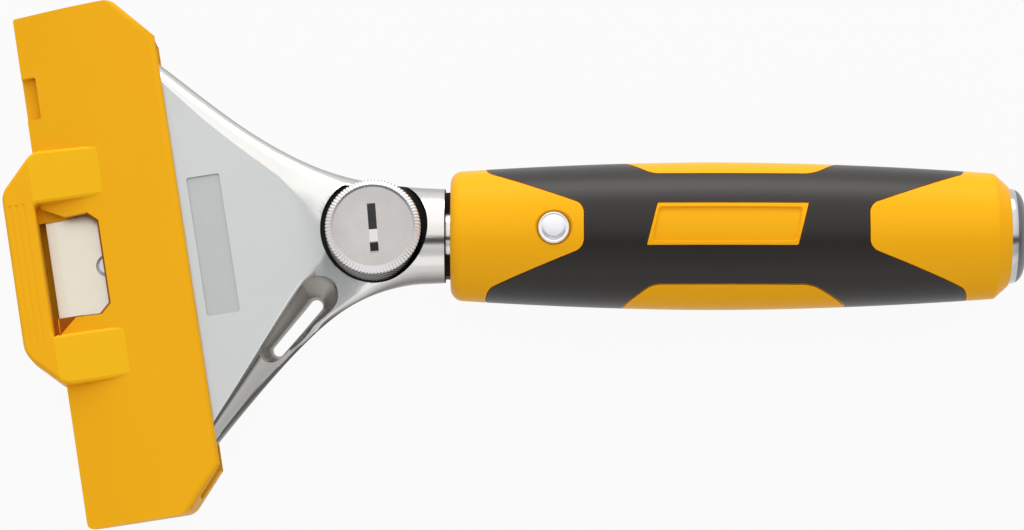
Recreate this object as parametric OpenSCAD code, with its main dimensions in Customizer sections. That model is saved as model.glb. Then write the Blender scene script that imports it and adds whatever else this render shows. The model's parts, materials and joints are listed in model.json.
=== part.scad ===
// Heavy-duty hand scraper with a clamped, replaceable blade and a slide-on blade cover.
// +X runs along the handle to the butt, +Z is the knob side, origin at the middle of the strike face.

/* [Handle] */
// Length of the handle without the strike cap
handle_l = 115; // [95:1:150]
// Largest radius of the handle
handle_r = 15.2; // [13.5:0.1:18]
// How much thinner the handle is at its front end
front_drop = 1.7; // [0.4:0.1:3]
// How much thinner the handle is at its butt
rear_drop = 1.9; // [0.4:0.1:3]
// Distance from the butt end to the fattest place
belly_at = 61; // [45:1:70]
// Rounding of the front edge of the handle
front_round = 2.6; // [1:0.1:4]
// Length of the bevel round the butt
butt_bevel_l = 3; // [1:0.1:5]
// Thickness of the moulded-on grip
grip_t = 2.2; // [1.2:0.1:3]

/* [Grip pattern] */
// Length of the front collar of hard plastic at the sides
front_band = 7.3; // [4:0.1:12]
// Length of the front tongue, on both faces
front_tongue_l = 26.7; // [16:0.1:34]
// Length of the rear collar of hard plastic at the sides
rear_band = 10; // [6:0.1:14]
// Length of the rear tongue, on both faces
rear_tongue_l = 30.1; // [16:0.1:34]
// Half height of both tongues where they leave their collars
tongue_root_h = 12.2; // [9:0.1:13]
// Half height of both tongues at their tips
tongue_tip_h = 4.6; // [3:0.1:7]
// Cut-off of the tongue and pad corners
pad_corner = 1.6; // [0.4:0.1:2.4]
// Length of the side pads along their inner edge
side_pad_l = 33; // [20:0.5:40]
// How far each end of a side pad runs on past its inner edge
side_pad_slope = 6.6; // [1:0.1:9]
// Height of the side pads' inner edge above the handle axis
side_pad_at = 11.3; // [9:0.1:12.5]
// Shift of the side pads towards the butt from the fattest place
side_pad_shift = 3.5; // [-4:0.1:8]
// Length of the label pad
label_l = 31; // [20:0.5:36]
// Height of the label pad
label_h = 8.8; // [6:0.1:12]
// Lean of the label pad's ends
label_lean = 2.2; // [0:0.1:4]
// Shift of the label pad towards the butt from the fattest place
label_shift = 2.2; // [-4:0.1:6]
// Width of the rim round the label panel
label_rim = 1; // [0.5:0.1:2]
// Depth of the blank label panels
label_depth = 0.4; // [0.1:0.05:0.8]

/* [Tang, rod and strike cap] */
// Radius of the cast tang and of the steel rod behind it
tang_r = 5.15; // [4.2:0.05:6]
// Length of the tang inside the handle
tang_l = 30; // [27:0.5:50]
// Radius of the cross pin
pin_r = 3.35; // [2:0.05:3.6]
// Distance of the cross pin from the front of the handle
pin_back = 20.9; // [14:0.1:23]
// How far the pin's domed ends stand proud
pin_proud = 0.35; // [0.1:0.05:1]
// Height of the dome on the pin's ends
pin_dome = 0.7; // [0.3:0.1:1.2]
// Radius of the strike cap
cap_r = 9.8; // [7.5:0.1:9.9]
// Width of the butt face left round the strike cap
cap_rim = 0.5; // [0.2:0.1:1]
// How far the strike cap stands out of the handle
cap_proud = 2.8; // [1.5:0.1:6]
// Depth of the strike cap in the handle
cap_seat = 4; // [3:0.1:8]
// Depth of the rod in the strike cap
rod_seat = 3; // [1:0.1:5]
// Rounding of the strike face's edge
cap_edge = 0.9; // [0.3:0.1:1.4]

/* [Head casting] */
// Turn of the blade edge from square to the handle
skew = 9.2; // [0:0.1:12]
// Distance from the knob axis to the front of the handle
knob_reach = 15.8; // [14.5:0.1:22]
// Distance from the knob axis to the cutting edge
edge_reach = 66.2; // [60:0.1:80]
// Shift of the blade's middle from the knob axis, along the edge
edge_shift = 2.9; // [0:0.1:5]
// Gap between the collar and the handle
neck_gap = 0.8; // [0.4:0.1:2]
// Length of the round collar
collar_l = 5.3; // [4.6:0.1:6]
// Radius of the round collar
collar_r = 9.9; // [9:0.1:11]
// Distance of the casting's front lip behind the cutting edge
lip_back = 10.5; // [10.3:0.1:12]
// Distance of the casting's shoulders behind the cutting edge
shoulder_back = 18; // [16:0.1:19.5]
// Angle of the flanks to the blade edge's square line
flank_angle = 43; // [38:0.5:48]
// Height of the casting's flat top above the handle axis
flat_z = 4.2; // [3.2:0.1:5]
// How much lower the casting's top is at its front lip
lip_drop = 1.9; // [1:0.1:2.4]
// Width of the rounded flanks beside the flat top
flank_w = 4.6; // [3:0.1:6]
// Half width of the lightening slot
slot_r = 1.5; // [0.8:0.1:2]
// Place of the slot's front end along the lower flank, as a share of its length
slot_from = 0.37; // [0.3:0.01:0.45]
// Place of the slot's rear end along the lower flank, as a share of its length
slot_to = 0.55; // [0.48:0.01:0.6]
// Distance of the slot's front end from the lower flank
slot_inset = 2.9; // [2.6:0.1:5]
// Distance of the slot's rear end from the lower flank
slot_rear_inset = 4.2; // [3.2:0.1:6]
// Width of the sloping rim round the slot's front end
slot_rim = 1; // [0.4:0.1:1.4]
// Width of the sloping rim round the slot's rear end
slot_rear_rim = 2.7; // [0.6:0.1:3]
// Depth of the slot's rim below the flat top
slot_rim_d = 3; // [1.5:0.1:3.6]
// Length of the blank name panel, along the blade
panel_l = 29; // [10:0.5:34]
// Width of the blank name panel
panel_w = 6.8; // [3:0.1:8]
// Distance of the name panel behind the cover's mouth
panel_back = 3; // [1:0.1:6]

/* [Blade] */
// Length of the cutting edge
blade_l = 100; // [80:1:120]
// Width of the blade
blade_w = 22; // [20:0.5:24]
// Thickness of the blade
blade_t = 0.8; // [0.5:0.05:1]
// Width of the ground bevels
bevel_w = 1.5; // [0.6:0.1:3]
// Radius of the locating hole
blade_hole_r = 2; // [1.5:0.1:3]
// Depth of the blade's middle plane below the handle axis
blade_drop = 1.5; // [1:0.1:2]

/* [Clamp] */
// Thickness of the clamp plate
plate_t = 3; // [2.4:0.1:3.4]
// Thickness of the clamp plate at its front lip
plate_lip_t = 1.9; // [1.4:0.1:2.2]
// Half width of the clamp plate's tongue
tongue_w = 7.8; // [7.4:0.1:8.2]
// Radius of the two guide pins
guide_r = 2; // [1.2:0.1:2.4]
// Spread of the two guide pins along the blade
guide_spread = 36; // [24:1:40]
// Distance of the guide pins behind the casting's shoulders
guide_after = 9; // [7:0.1:11]
// Radius of the clamp screw
screw_r = 3; // [2.5:0.1:3.2]
// Radius of the threaded bush
bush_r = 4.6; // [4.2:0.1:5]
// Length of the threaded bush
bush_l = 3.5; // [2.5:0.1:4]
// Depth of the spring seat in the clamp plate
spring_seat = 2; // [1.6:0.1:2.3]
// Radius of the spring seat
spring_seat_r = 5.2; // [5.1:0.1:5.6]
// Radius of the spring wire
wire_r = 0.3; // [0.2:0.02:0.36]
// Turns of the lift spring
spring_turns = 2; // [1:0.5:2.5]
// How far the clamp opens
clamp_travel = 1.2; // [0.8:0.1:1.3]
// Thickness of the retaining ring
ring_t = 0.6; // [0.4:0.05:0.8]
// Radius of the retaining ring
ring_r = 4.6; // [4:0.1:5]

/* [Knob] */
// Radius of the knob
knob_r = 9.6; // [8.6:0.1:9.9]
// Height of the knob
knob_h = 10.7; // [8:0.1:13]
// Rounding of the knob's rim
knob_edge = 1; // [0.4:0.1:1.6]
// Height of the recess floor under the knob above the handle axis
recess_z = 1.9; // [1.4:0.1:2.4]
// Gap round the knob in its recess
recess_gap = 1.1; // [0.6:0.1:1.4]
// Thickness of the washer under the knob
washer_t = 0.6; // [0.4:0.1:1.2]
// Radius of the washer under the knob
washer_r = 8; // [5:0.1:8.5]
// Length of the coin slot
coin_l = 9.7; // [7:0.1:12]
// Width of the coin slot
coin_w = 1.7; // [1.2:0.1:2.4]
// Depth of the coin slot
coin_d = 2; // [1:0.1:2.6]
// Turn of the coin slot from the handle axis
coin_turn = 94; // [0:1:180]

/* [Blade cover] */
// Thickness of the cover's faces
cover_wall = 1.7; // [1.2:0.1:1.8]
// Thickness of the cover's end walls
cover_end = 2.9; // [1.6:0.1:3.4]
// Thickness of the cover's nose in front of the cutting edge
nose_wall = 0.7; // [0.5:0.1:1.6]
// Length of the cover from its nose to its mouth
cover_w = 27.9; // [26:0.1:32]
// How much longer the cover's lower jaw is
jaw_step = 0.9; // [0:0.1:3]
// Distance of the crease behind the nose
crease_back = 13.4; // [12:0.1:15]
// Half thickness of the cover at its nose
nose_h = 3.1; // [2.9:0.1:3.6]
// How much thinner the cover is on each face at its crease than at its mouth
cover_taper = 1.2; // [0.6:0.1:1.4]
// Cut-off of the cover's mouth corners, back from the mouth
cover_corner = 7.8; // [4:0.1:10]
// Cut-off of the cover's mouth corners, along the blade
cover_corner_l = 8.8; // [4:0.1:12]
// Width of the bumper frame at the nose, along the blade
bumper_l = 47.6; // [40:0.2:60]
// Width of the bumper bar at its front
bumper_front_l = 33; // [30:0.2:36]
// How far the bumper stands out in front of the nose
bumper_out = 7.5; // [5:0.1:10]
// Gap between the bumper bar and the nose
bar_gap = 1.1; // [0.6:0.1:3]
// Distance between the bumper's arms
arm_gap = 27.4; // [24:0.2:29]
// Width of the blade window, along the blade
window_l = 20.3; // [12:0.1:23]
// Distance of the window's rear edge behind the cutting edge
window_back = 10.2; // [6:0.1:10.2]
// Cut-off of the window's rear corners
window_corner = 2; // [0.5:0.1:3]
// Length of the nose notch, along the blade
notch_l = 8.9; // [4:0.1:12]
// Distance of the notch from the cover's upper end
notch_at = 12.7; // [8:0.1:16]
// Width of the notch, back from the nose
notch_w = 2.4; // [1:0.1:2.8]
// Depth of the notch
notch_d = 0.7; // [0.3:0.1:1]

/* [Clearances] */
// Radial clearance of turning and sliding fits
run_gap = 0.06; // [0.02:0.01:0.1]
// Room between loosely fitting pieces
free_gap = 0.3; // [0.2:0.05:0.5]

/* [Hidden] */
$fn = 64;

yellow = [0.96, 0.71, 0.09];
dark = [0.2, 0.19, 0.18];
cast = [0.8, 0.8, 0.8];
steel = [0.86, 0.85, 0.82];
brass = [0.79, 0.66, 0.36];
far = 200;
skin = 0.01;

butt_x = -cap_proud;
front_x = butt_x - handle_l;
belly_x = butt_x - belly_at;
collar_x = front_x - neck_gap;
neck_x = collar_x - collar_l;
knob_x = front_x - knob_reach;
tang_end_x = front_x + tang_l;
pin_x = front_x + pin_back;
cap_back_x = butt_x - cap_seat;

blade_z = -blade_drop;
under_z = blade_z + blade_t / 2;
plate_z = blade_z - blade_t / 2;
plate_low_z = plate_z - plate_t;
spring_low_z = plate_z - spring_seat;
bush_low_z = spring_low_z - bush_l;
ring_z = bush_low_z - clamp_travel - run_gap;
ring_groove = 0.6;
ring_mouth = 1.5 * (screw_r - ring_groove);
screw_tail = 0.25;
screw_low_z = ring_z - ring_t - screw_tail;
knob_z = recess_z + washer_t;
knob_top_z = knob_z + knob_h;
knob_web = 2;
knob_foot = 0.4;
screw_in_knob = knob_h - coin_d - knob_web;
recess_r = knob_r + recess_gap;
boss_r = tongue_w - free_gap;

pin_web = 0.7;
blade_pin_r = blade_hole_r - free_gap;
blade_pin_up = 0.3;
blade_pin_seat = plate_lip_t - pin_web;
plate_lip_back = blade_w / 2 - blade_pin_r - pin_web;
plate_end_inset = 5;
plate_half = blade_l / 2 - plate_end_inset;
plate_taper_back = shoulder_back + 4;
plate_neck_back = edge_reach - 14;
plate_waist_back = mix(shoulder_back, plate_neck_back, 0.52);
plate_waist = 12;
channel_back = plate_neck_back - 6;
heel_back = edge_reach + spring_seat_r + 0.4;
heel_flare = 0.3;
guide_back = shoulder_back + guide_after;
guide_web = 1.6;
guide_up = flat_z - under_z - guide_web;

mouth_h = flat_z - blade_z + free_gap + cover_wall;
crease_h = mouth_h - cover_taper;
nose_u = -nose_wall - free_gap;
mouth_u = nose_u + cover_w;
jaw_u = mouth_u + jaw_step;
crease_u = nose_u + crease_back;
cover_half = blade_l / 2 + free_gap * 2 + cover_end;
arm_z = blade_z + crease_h;
bar_u = nose_u - bumper_out;
bar_back_u = nose_u - bar_gap;
sill_z = blade_z - blade_t / 2 - free_gap * 2;
notch_z = blade_z + nose_h - notch_d;

// A point of the head's plan: u back from the cutting edge, v up along it.
function head_xy(u, v) =
    let (a = u - edge_reach, b = v + edge_shift)
    [knob_x + cos(skew) * a - sin(skew) * b, sin(skew) * a + cos(skew) * b];

// Puts shapes drawn in the head's plan where the head is.
module in_head() {
    translate([knob_x, 0, 0]) rotate([0, 0, skew]) translate([-edge_reach, edge_shift, 0]) children();
}

function smooth(t) = let (c = max(0, min(1, t))) c * c * (3 - 2 * c);
function mix(a, b, t) = a + (b - a) * t;
function heading(a) = [cos(a), sin(a)];
function bezier(p, t) =
    let (s = 1 - t)
    s * s * s * p[0] + 3 * s * s * t * p[1] + 3 * s * t * t * p[2] + t * t * t * p[3];
function bezier2(p, t) = let (s = 1 - t) s * s * p[0] + 2 * s * t * p[1] + t * t * p[2];

// Outline of the casting: each flank is one curve from the shoulder to the round neck.
lip_inset = 0.5;
lip_half = blade_l / 2 - lip_inset;
shoulder_up = head_xy(shoulder_back, lip_half);
shoulder_low = head_xy(shoulder_back, -lip_half);
neck_up = [neck_x, collar_r];
neck_low = [neck_x, -collar_r];
run_up = norm(neck_up - shoulder_up);
run_low = norm(neck_low - shoulder_low);
pull_up = [0.4, 0.42];
pull_low = [0.645, 0.24];
neck_angle = 176;
flank_up = [shoulder_up, shoulder_up + pull_up[0] * run_up * heading(skew - flank_angle),
            neck_up + pull_up[1] * run_up * heading(neck_angle), neck_up];
flank_low = [shoulder_low, shoulder_low + pull_low[0] * run_low * heading(skew + flank_angle),
             neck_low + pull_low[1] * run_low * heading(-neck_angle), neck_low];

// A point inside the lower flank, at place t along it.
function inside_low(t, inset) =
    let (d = bezier(flank_low, t + 0.01) - bezier(flank_low, t - 0.01))
    bezier(flank_low, t) + inset * [-d[1], d[0]] / norm(d);

// Stations of the casting's body, each as [upper side, lower side] of the plan.
flank_steps = 16;
stations = concat(
    [[head_xy(lip_back, lip_half), head_xy(lip_back, -lip_half)]],
    [for (i = [0 : flank_steps]) let (t = i / flank_steps)
        [bezier(flank_up, t), bezier(flank_low, t)]]);

arc_steps = 5;
crease_angle = 68;
lip_top_z = flat_z - lip_drop;
flat_u = mouth_u + 2;
lip_round = 0.8;
under_round = 0.5;
neck_run = 26;
flank_run = 44;
neck_round = 0.97 * collar_r;
bulge_at = 0.2;
collar_bead = 0.15;
collar_draft = 0.2;

// One cross-section of the body: a flat top, rounded flanks and a flat underside, all turning
// into the round of the neck.
function section(st) =
    let (mid = (st[0] + st[1]) / 2,
         half = norm(st[0] - st[1]) / 2,
         side = (st[0] - st[1]) / (2 * half),
         back = (mid - head_xy(0, 0)) * heading(skew),
         slope = min(1, (back - lip_back) / (flat_u - lip_back)),
         neck = smooth((mid[0] - neck_x + neck_run) / neck_run),
         broad = smooth((mid[0] - neck_x + flank_run) / flank_run),
         top = mix(mix(lip_top_z, flat_z, slope), collar_r, neck),
         low = mix(under_z, -collar_r, neck),
         round_top = mix(mix(lip_round, flank_w, slope), neck_round, broad),
         round_low = mix(under_round, neck_round, neck),
         bulge = mix(low, top, mix(bulge_at, 0.5, neck)),
         turn = mix(crease_angle, 90, neck))
    [for (p = concat(
        [for (i = [0 : arc_steps]) let (a = turn * i / arc_steps)
            [half - round_top * (1 - cos(a)) / (1 - cos(turn)), mix(bulge, top, sin(a) / sin(turn))]],
        [for (i = [arc_steps : -1 : 0]) let (a = turn * i / arc_steps)
            [-half + round_top * (1 - cos(a)) / (1 - cos(turn)), mix(bulge, top, sin(a) / sin(turn))]],
        [for (i = [1 : arc_steps]) let (a = 90 * i / arc_steps)
            [-half + round_low * (1 - cos(a)), mix(bulge, low, sin(a))]],
        [for (i = [arc_steps : -1 : 1]) let (a = 90 * i / arc_steps)
            [half - round_low * (1 - cos(a)), mix(bulge, low, sin(a))]]))
        [mid[0] + side[0] * p[0], mid[1] + side[1] * p[0], p[1]]];

// A closed skin through rings of points that all have the same number of points.
module skin_through(rings) {
    n = len(rings[0]);
    m = len(rings);
    polyhedron(
        points = [for (r = rings) each r],
        faces = concat(
            [[for (k = [0 : n - 1]) k]],
            [for (j = [0 : m - 2], k = [0 : n - 1]) let (a = j * n + k, b = j * n + (k + 1) % n)
                each [[a, a + n, b], [b, a + n, b + n]]],
            [[for (k = [n - 1 : -1 : 0]) (m - 1) * n + k]]));
}

// A plan of two round ends joined by their tangents.
module two_circle_plan(p, rp, q, rq) {
    d = norm(q - p);
    a = atan2(q[1] - p[1], q[0] - p[0]);
    w = acos((rp - rq) / d);
    translate(p) circle(rp);
    translate(q) circle(rq);
    polygon([p + rp * heading(a + w), q + rq * heading(a + w), q + rq * heading(a - w),
             p + rp * heading(a - w)]);
}

// Stands a plan up along the handle: x stays, y becomes the radius.
module turned() {
    rotate([0, 90, 0]) rotate_extrude($fn = 96) children();
}

module upright(z0, z1) {
    translate([0, 0, z0]) linear_extrude(z1 - z0) children();
}

// Extrudes a profile of u and z along the whole blade direction.
module along_blade(half) {
    rotate([90, 0, 0]) translate([0, 0, -half]) linear_extrude(2 * half) children();
}

module head_casting() {
    slot_a = inside_low(slot_from, slot_inset);
    slot_b = inside_low(slot_to, slot_rear_inset);
    rim_a = slot_r + slot_rim;
    rim_b = slot_r + slot_rear_rim;
    channel = tongue_w + free_gap;
    color(cast) difference() {
        union() {
            skin_through([for (st = stations) section(st)]);
            translate([neck_x, 0, 0]) rotate([0, 90, 0])
                cylinder(r1 = collar_r + collar_bead, r2 = collar_r - collar_draft, h = collar_l);
            translate([neck_x, 0, 0]) rotate([0, 90, 0]) cylinder(r = tang_r, h = tang_end_x - neck_x);
        }
        translate([knob_x, 0, recess_z]) cylinder(r = recess_r, h = far);
        translate([knob_x, 0, -far / 2]) cylinder(r = screw_r + free_gap, h = far);
        translate([knob_x, 0, under_z - far]) cylinder(r = channel, h = far);
        in_head() translate([channel_back, -edge_shift - channel, under_z - far])
            cube([edge_reach - channel_back, 2 * channel, far]);
        upright(-far, far) two_circle_plan(slot_a, slot_r, slot_b, slot_r);
        upright(flat_z - slot_rim_d, far) two_circle_plan(slot_a, rim_a, slot_b, rim_b);
        guide_places() translate([0, 0, under_z - skin]) cylinder(r = guide_r, h = guide_up + skin);
        in_head() translate([blade_w / 2, 0, under_z - skin])
            cylinder(r = blade_pin_r + free_gap, h = blade_pin_up + free_gap + skin);
        in_head() translate([mouth_u + panel_back, -panel_l / 2, flat_z - label_depth])
            cube([panel_w, panel_l, far]);
        translate([pin_x, 0, -far / 2]) cylinder(r = pin_r, h = far);
    }
}

module guide_place(side) {
    in_head() translate([guide_back, side * guide_spread / 2, 0]) children();
}

module guide_places() {
    for (side = [-1, 1]) guide_place(side) children();
}

module clamp_plate() {
    lip = plate_lip_back;
    half = plate_half;
    side = tongue_w - heel_flare - edge_shift;
    side_low = tongue_w - heel_flare + edge_shift;
    up = [[shoulder_back, half], [plate_waist_back, plate_waist], [plate_neck_back, side]];
    low = [[plate_neck_back, -side_low], [plate_waist_back, -plate_waist], [shoulder_back, -half]];
    steps = 10;
    plan = concat([[lip, -half], [lip, half]], [for (i = [0 : steps]) bezier2(up, i / steps)],
        [[edge_reach, side], [edge_reach, -side_low]], [for (i = [0 : steps]) bezier2(low, i / steps)]);
    taper_l = plate_taper_back - lip;
    color(cast) difference() {
        union() {
            in_head() upright(plate_low_z, plate_z) polygon(plan);
            translate([knob_x, 0, plate_low_z]) cylinder(r = tongue_w, h = plate_t + blade_t);
            translate([knob_x, 0, bush_low_z]) cylinder(r = boss_r, h = plate_z - bush_low_z);
        }
        in_head() translate([heel_back - far, -far / 2, plate_z]) cube(far);
        in_head() along_blade(far / 2) polygon([
            [lip - 1, plate_z - plate_lip_t + (plate_t - plate_lip_t) / taper_l],
            [lip + taper_l, plate_low_z], [lip + taper_l, plate_low_z - 1], [lip - 1, plate_low_z - 1]]);
        translate([knob_x, 0, spring_low_z]) cylinder(r = spring_seat_r, h = far);
        translate([knob_x, 0, -far / 2]) cylinder(r = bush_r, h = far);
        guide_places() translate([0, 0, -far / 2]) cylinder(r = guide_r + run_gap, h = far);
        in_head() translate([blade_w / 2, 0, plate_z - blade_pin_seat])
            cylinder(r = blade_pin_r, h = far);
    }
}

module blade() {
    edge = 0.04;
    color(steel) in_head() difference() {
        along_blade(blade_l / 2) polygon([
            [0, blade_z - edge], [0, blade_z + edge], [bevel_w, under_z],
            [blade_w - bevel_w, under_z], [blade_w, blade_z + edge], [blade_w, blade_z - edge],
            [blade_w - bevel_w, plate_z], [bevel_w, plate_z]]);
        translate([blade_w / 2, 0, -far / 2]) cylinder(r = blade_hole_r, h = far);
    }
}

module blade_pin() {
    color(steel) in_head() translate([blade_w / 2, 0, plate_z - blade_pin_seat])
        cylinder(r = blade_pin_r, h = blade_pin_seat + blade_t + blade_pin_up);
}

module guide_pin(side) {
    color(steel) guide_place(side) translate([0, 0, plate_low_z])
        cylinder(r = guide_r, h = under_z + guide_up - plate_low_z);
}

module guide_pin_upper() {
    guide_pin(1);
}

module guide_pin_lower() {
    guide_pin(-1);
}

module clamp_knob() {
    coin_arc = (coin_l * coin_l / 4 + coin_d * coin_d) / (2 * coin_d);
    edge_steps = 5;
    profile = concat([[0, knob_z], [knob_r - knob_foot, knob_z], [knob_r, knob_z + knob_foot]],
        [for (i = [0 : edge_steps]) let (a = 90 * i / edge_steps)
            [knob_r - knob_edge * (1 - cos(a)), knob_top_z - knob_edge * (1 - sin(a))]],
        [[0, knob_top_z]]);
    color(steel) translate([knob_x, 0, 0]) difference() {
        rotate_extrude($fn = 96) polygon(profile);
        translate([0, 0, knob_z - skin]) cylinder(r = screw_r, h = screw_in_knob + skin);
        translate([0, 0, knob_top_z - coin_d + coin_arc]) rotate([0, 0, coin_turn]) rotate([90, 0, 0])
            cylinder(r = coin_arc, h = coin_w, center = true);
    }
}

module clamp_screw() {
    color(steel) translate([knob_x, 0, 0]) difference() {
        translate([0, 0, screw_low_z]) cylinder(r = screw_r, h = knob_z + screw_in_knob - screw_low_z);
        translate([0, 0, ring_z - ring_t]) difference() {
            cylinder(r = screw_r + 1, h = ring_t);
            cylinder(r = screw_r - ring_groove, h = ring_t);
        }
    }
}

module knob_washer() {
    color(steel) translate([knob_x, 0, recess_z]) difference() {
        cylinder(r = washer_r, h = washer_t);
        translate([0, 0, -skin]) cylinder(r = screw_r + free_gap, h = washer_t + 2 * skin);
    }
}

module retaining_ring() {
    color(steel) translate([knob_x, 0, ring_z - ring_t]) difference() {
        cylinder(r = ring_r, h = ring_t);
        translate([0, 0, -skin]) cylinder(r = screw_r - ring_groove, h = ring_t + 2 * skin);
        translate([0, -ring_mouth / 2, -skin]) cube([far, ring_mouth, ring_t + 2 * skin]);
    }
}

module lift_spring() {
    ring_points = 6;
    per_turn = 12;
    steps = per_turn * spring_turns;
    coil_r = spring_seat_r - wire_r - free_gap;
    low = spring_low_z + wire_r;
    rise = under_z - wire_r - low;
    color(steel) translate([knob_x, 0, 0]) skin_through([
        for (i = [0 : steps]) let (a = 360 * i / per_turn, z = low + rise * i / steps)
            [for (k = [0 : ring_points - 1]) let (b = 360 * k / ring_points, r = coil_r + wire_r * cos(b))
                [r * cos(a), r * sin(a), z + wire_r * sin(b)]]]);
}

module threaded_bush() {
    color(brass) translate([knob_x, 0, bush_low_z]) difference() {
        cylinder(r = bush_r, h = bush_l);
        translate([0, 0, -skin]) cylinder(r = screw_r + run_gap, h = bush_l + 2 * skin);
    }
}

module core_rod() {
    color(steel) translate([tang_end_x, 0, 0]) rotate([0, 90, 0])
        cylinder(r = tang_r, h = cap_back_x + rod_seat - tang_end_x);
}

// Radius of the handle at place x, a barrel that thins towards both ends.
function handle_radius(x) =
    x < belly_x ? handle_r - front_drop * pow((belly_x - x) / (belly_x - front_x), 1.8)
                : handle_r - rear_drop * pow((x - belly_x) / (butt_x - belly_x), 1.8);

// The barrel as a solid, drawn in by the given depth.
module barrel(depth) {
    bands = 12;
    round_steps = 3;
    from = front_x + front_round;
    to = butt_x - butt_bevel_l;
    profile = concat([[0, front_x + depth]],
        [for (i = [0 : round_steps - 1]) let (a = 90 * i / round_steps)
            [handle_radius(from) - depth - front_round * (1 - sin(a)),
             from + depth - front_round * cos(a)]],
        [for (i = [0 : bands]) let (x = mix(from + depth, to - depth, i / bands))
            [handle_radius(x) - depth, x]],
        [[cap_r + cap_rim - depth, butt_x - depth], [0, butt_x - depth]]);
    turned() polygon(profile);
}

// Plan of the front tongue, or of the rear one with its own end, band and length.
module tongue_plan(end_x, way, band, tongue) {
    out = handle_r + 1;
    k = pad_corner;
    tip = tongue_tip_h;
    slope = (tongue_root_h - tip) / (tongue - band);
    half = [[-1, out], [band, out], [band, tongue_root_h], [tongue - k, tip + k * slope],
            [tongue, tip - k]];
    n = len(half);
    polygon([for (p = concat(half, [for (i = [n - 1 : -1 : 0]) [half[i][0], -half[i][1]]]))
        [end_x + way * p[0], p[1]]]);
}

// Plan of the pad along the upper side.
module side_pad_plan() {
    h = side_pad_at;
    a = belly_x + side_pad_shift - side_pad_l / 2;
    b = a + side_pad_l;
    out = handle_r + 1;
    reach = side_pad_slope * (out - h) / (handle_r - h);
    polygon([[a, h], [b, h], [b + reach, out], [a - reach, out]]);
}

// Plan of the label pad, or of its panel with a rim left round it.
module label_plan(rim) {
    x = belly_x + label_shift;
    lean = label_lean / 2 * (1 - 2 * rim / label_h);
    h = label_h / 2 - rim;
    l = label_l / 2 - rim;
    polygon([[x - l + lean, h], [x + l + lean, h], [x + l - lean, -h], [x - l - lean, -h]]);
}

// Both faces' copies of a plan, each up through its own side of the handle.
module both_faces() {
    for (turn = [0, 180]) rotate([turn, 0, 0]) upright(0, far) children();
}

module hard_pads() {
    upright(-far, far) tongue_plan(front_x, 1, front_band, front_tongue_l);
    upright(-far, far) tongue_plan(butt_x, -1, rear_band, rear_tongue_l);
    for (turn = [0, 180]) rotate([turn, 0, 0]) upright(-far, far) side_pad_plan();
    both_faces() label_plan(0);
}

module handle_core() {
    color(yellow) difference() {
        union() {
            barrel(grip_t);
            intersection() {
                barrel(0);
                hard_pads();
            }
        }
        difference() {
            both_faces() label_plan(label_rim);
            barrel(label_depth);
        }
        translate([-far * 2, 0, 0]) rotate([0, 90, 0]) cylinder(r = tang_r, h = far * 2);
        translate([cap_back_x, 0, 0]) rotate([0, 90, 0]) cylinder(r = cap_r, h = far);
        translate([pin_x, 0, -far / 2]) cylinder(r = pin_r, h = far);
    }
}

module grip_sleeve() {
    color(dark) difference() {
        barrel(0);
        barrel(grip_t);
        hard_pads();
    }
}

module handle_pin() {
    half = handle_radius(pin_x) + pin_proud;
    dome_steps = 4;
    end = [for (i = [0 : dome_steps]) let (a = 90 * i / dome_steps)
        [pin_r * cos(a), half - pin_dome * (1 - sin(a))]];
    color(steel) translate([pin_x, 0, 0]) rotate_extrude()
        polygon(concat(end, [for (i = [dome_steps : -1 : 0]) [end[i][0], -end[i][1]]]));
}

module strike_cap() {
    edge_steps = 4;
    profile = concat([[0, cap_back_x], [cap_r, cap_back_x]],
        [for (i = [0 : edge_steps]) let (a = 90 * i / edge_steps)
            [cap_r - cap_edge * (1 - cos(a)), -cap_edge * (1 - sin(a))]],
        [[0, 0]]);
    color(steel) difference() {
        turned() polygon(profile);
        translate([cap_back_x - skin, 0, 0]) rotate([0, 90, 0]) cylinder(r = tang_r, h = rod_seat + skin);
    }
}

// Profile of the cover's outside, the same above and below the blade but for the longer lower jaw.
module cover_profile() {
    polygon([[nose_u, blade_z - nose_h], [nose_u, blade_z + nose_h], [crease_u, blade_z + crease_h],
             [mouth_u, blade_z + mouth_h], [mouth_u, blade_z], [jaw_u, blade_z],
             [jaw_u, blade_z - mouth_h], [mouth_u, blade_z - mouth_h], [crease_u, blade_z - crease_h]]);
}

// Profile of the cover's hollow, open at the mouth, down to the given depths at nose, crease and mouth.
module hollow_profile(lows) {
    inner = nose_u + nose_wall;
    w = cover_wall;
    out = jaw_u + 1;
    polygon([[inner, lows[0]], [inner, blade_z + nose_h - w], [crease_u, blade_z + crease_h - w],
             [mouth_u, blade_z + mouth_h - w], [out, blade_z + mouth_h - w],
             [out, lows[2]], [mouth_u, lows[2]], [crease_u, lows[1]]]);
}

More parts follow.
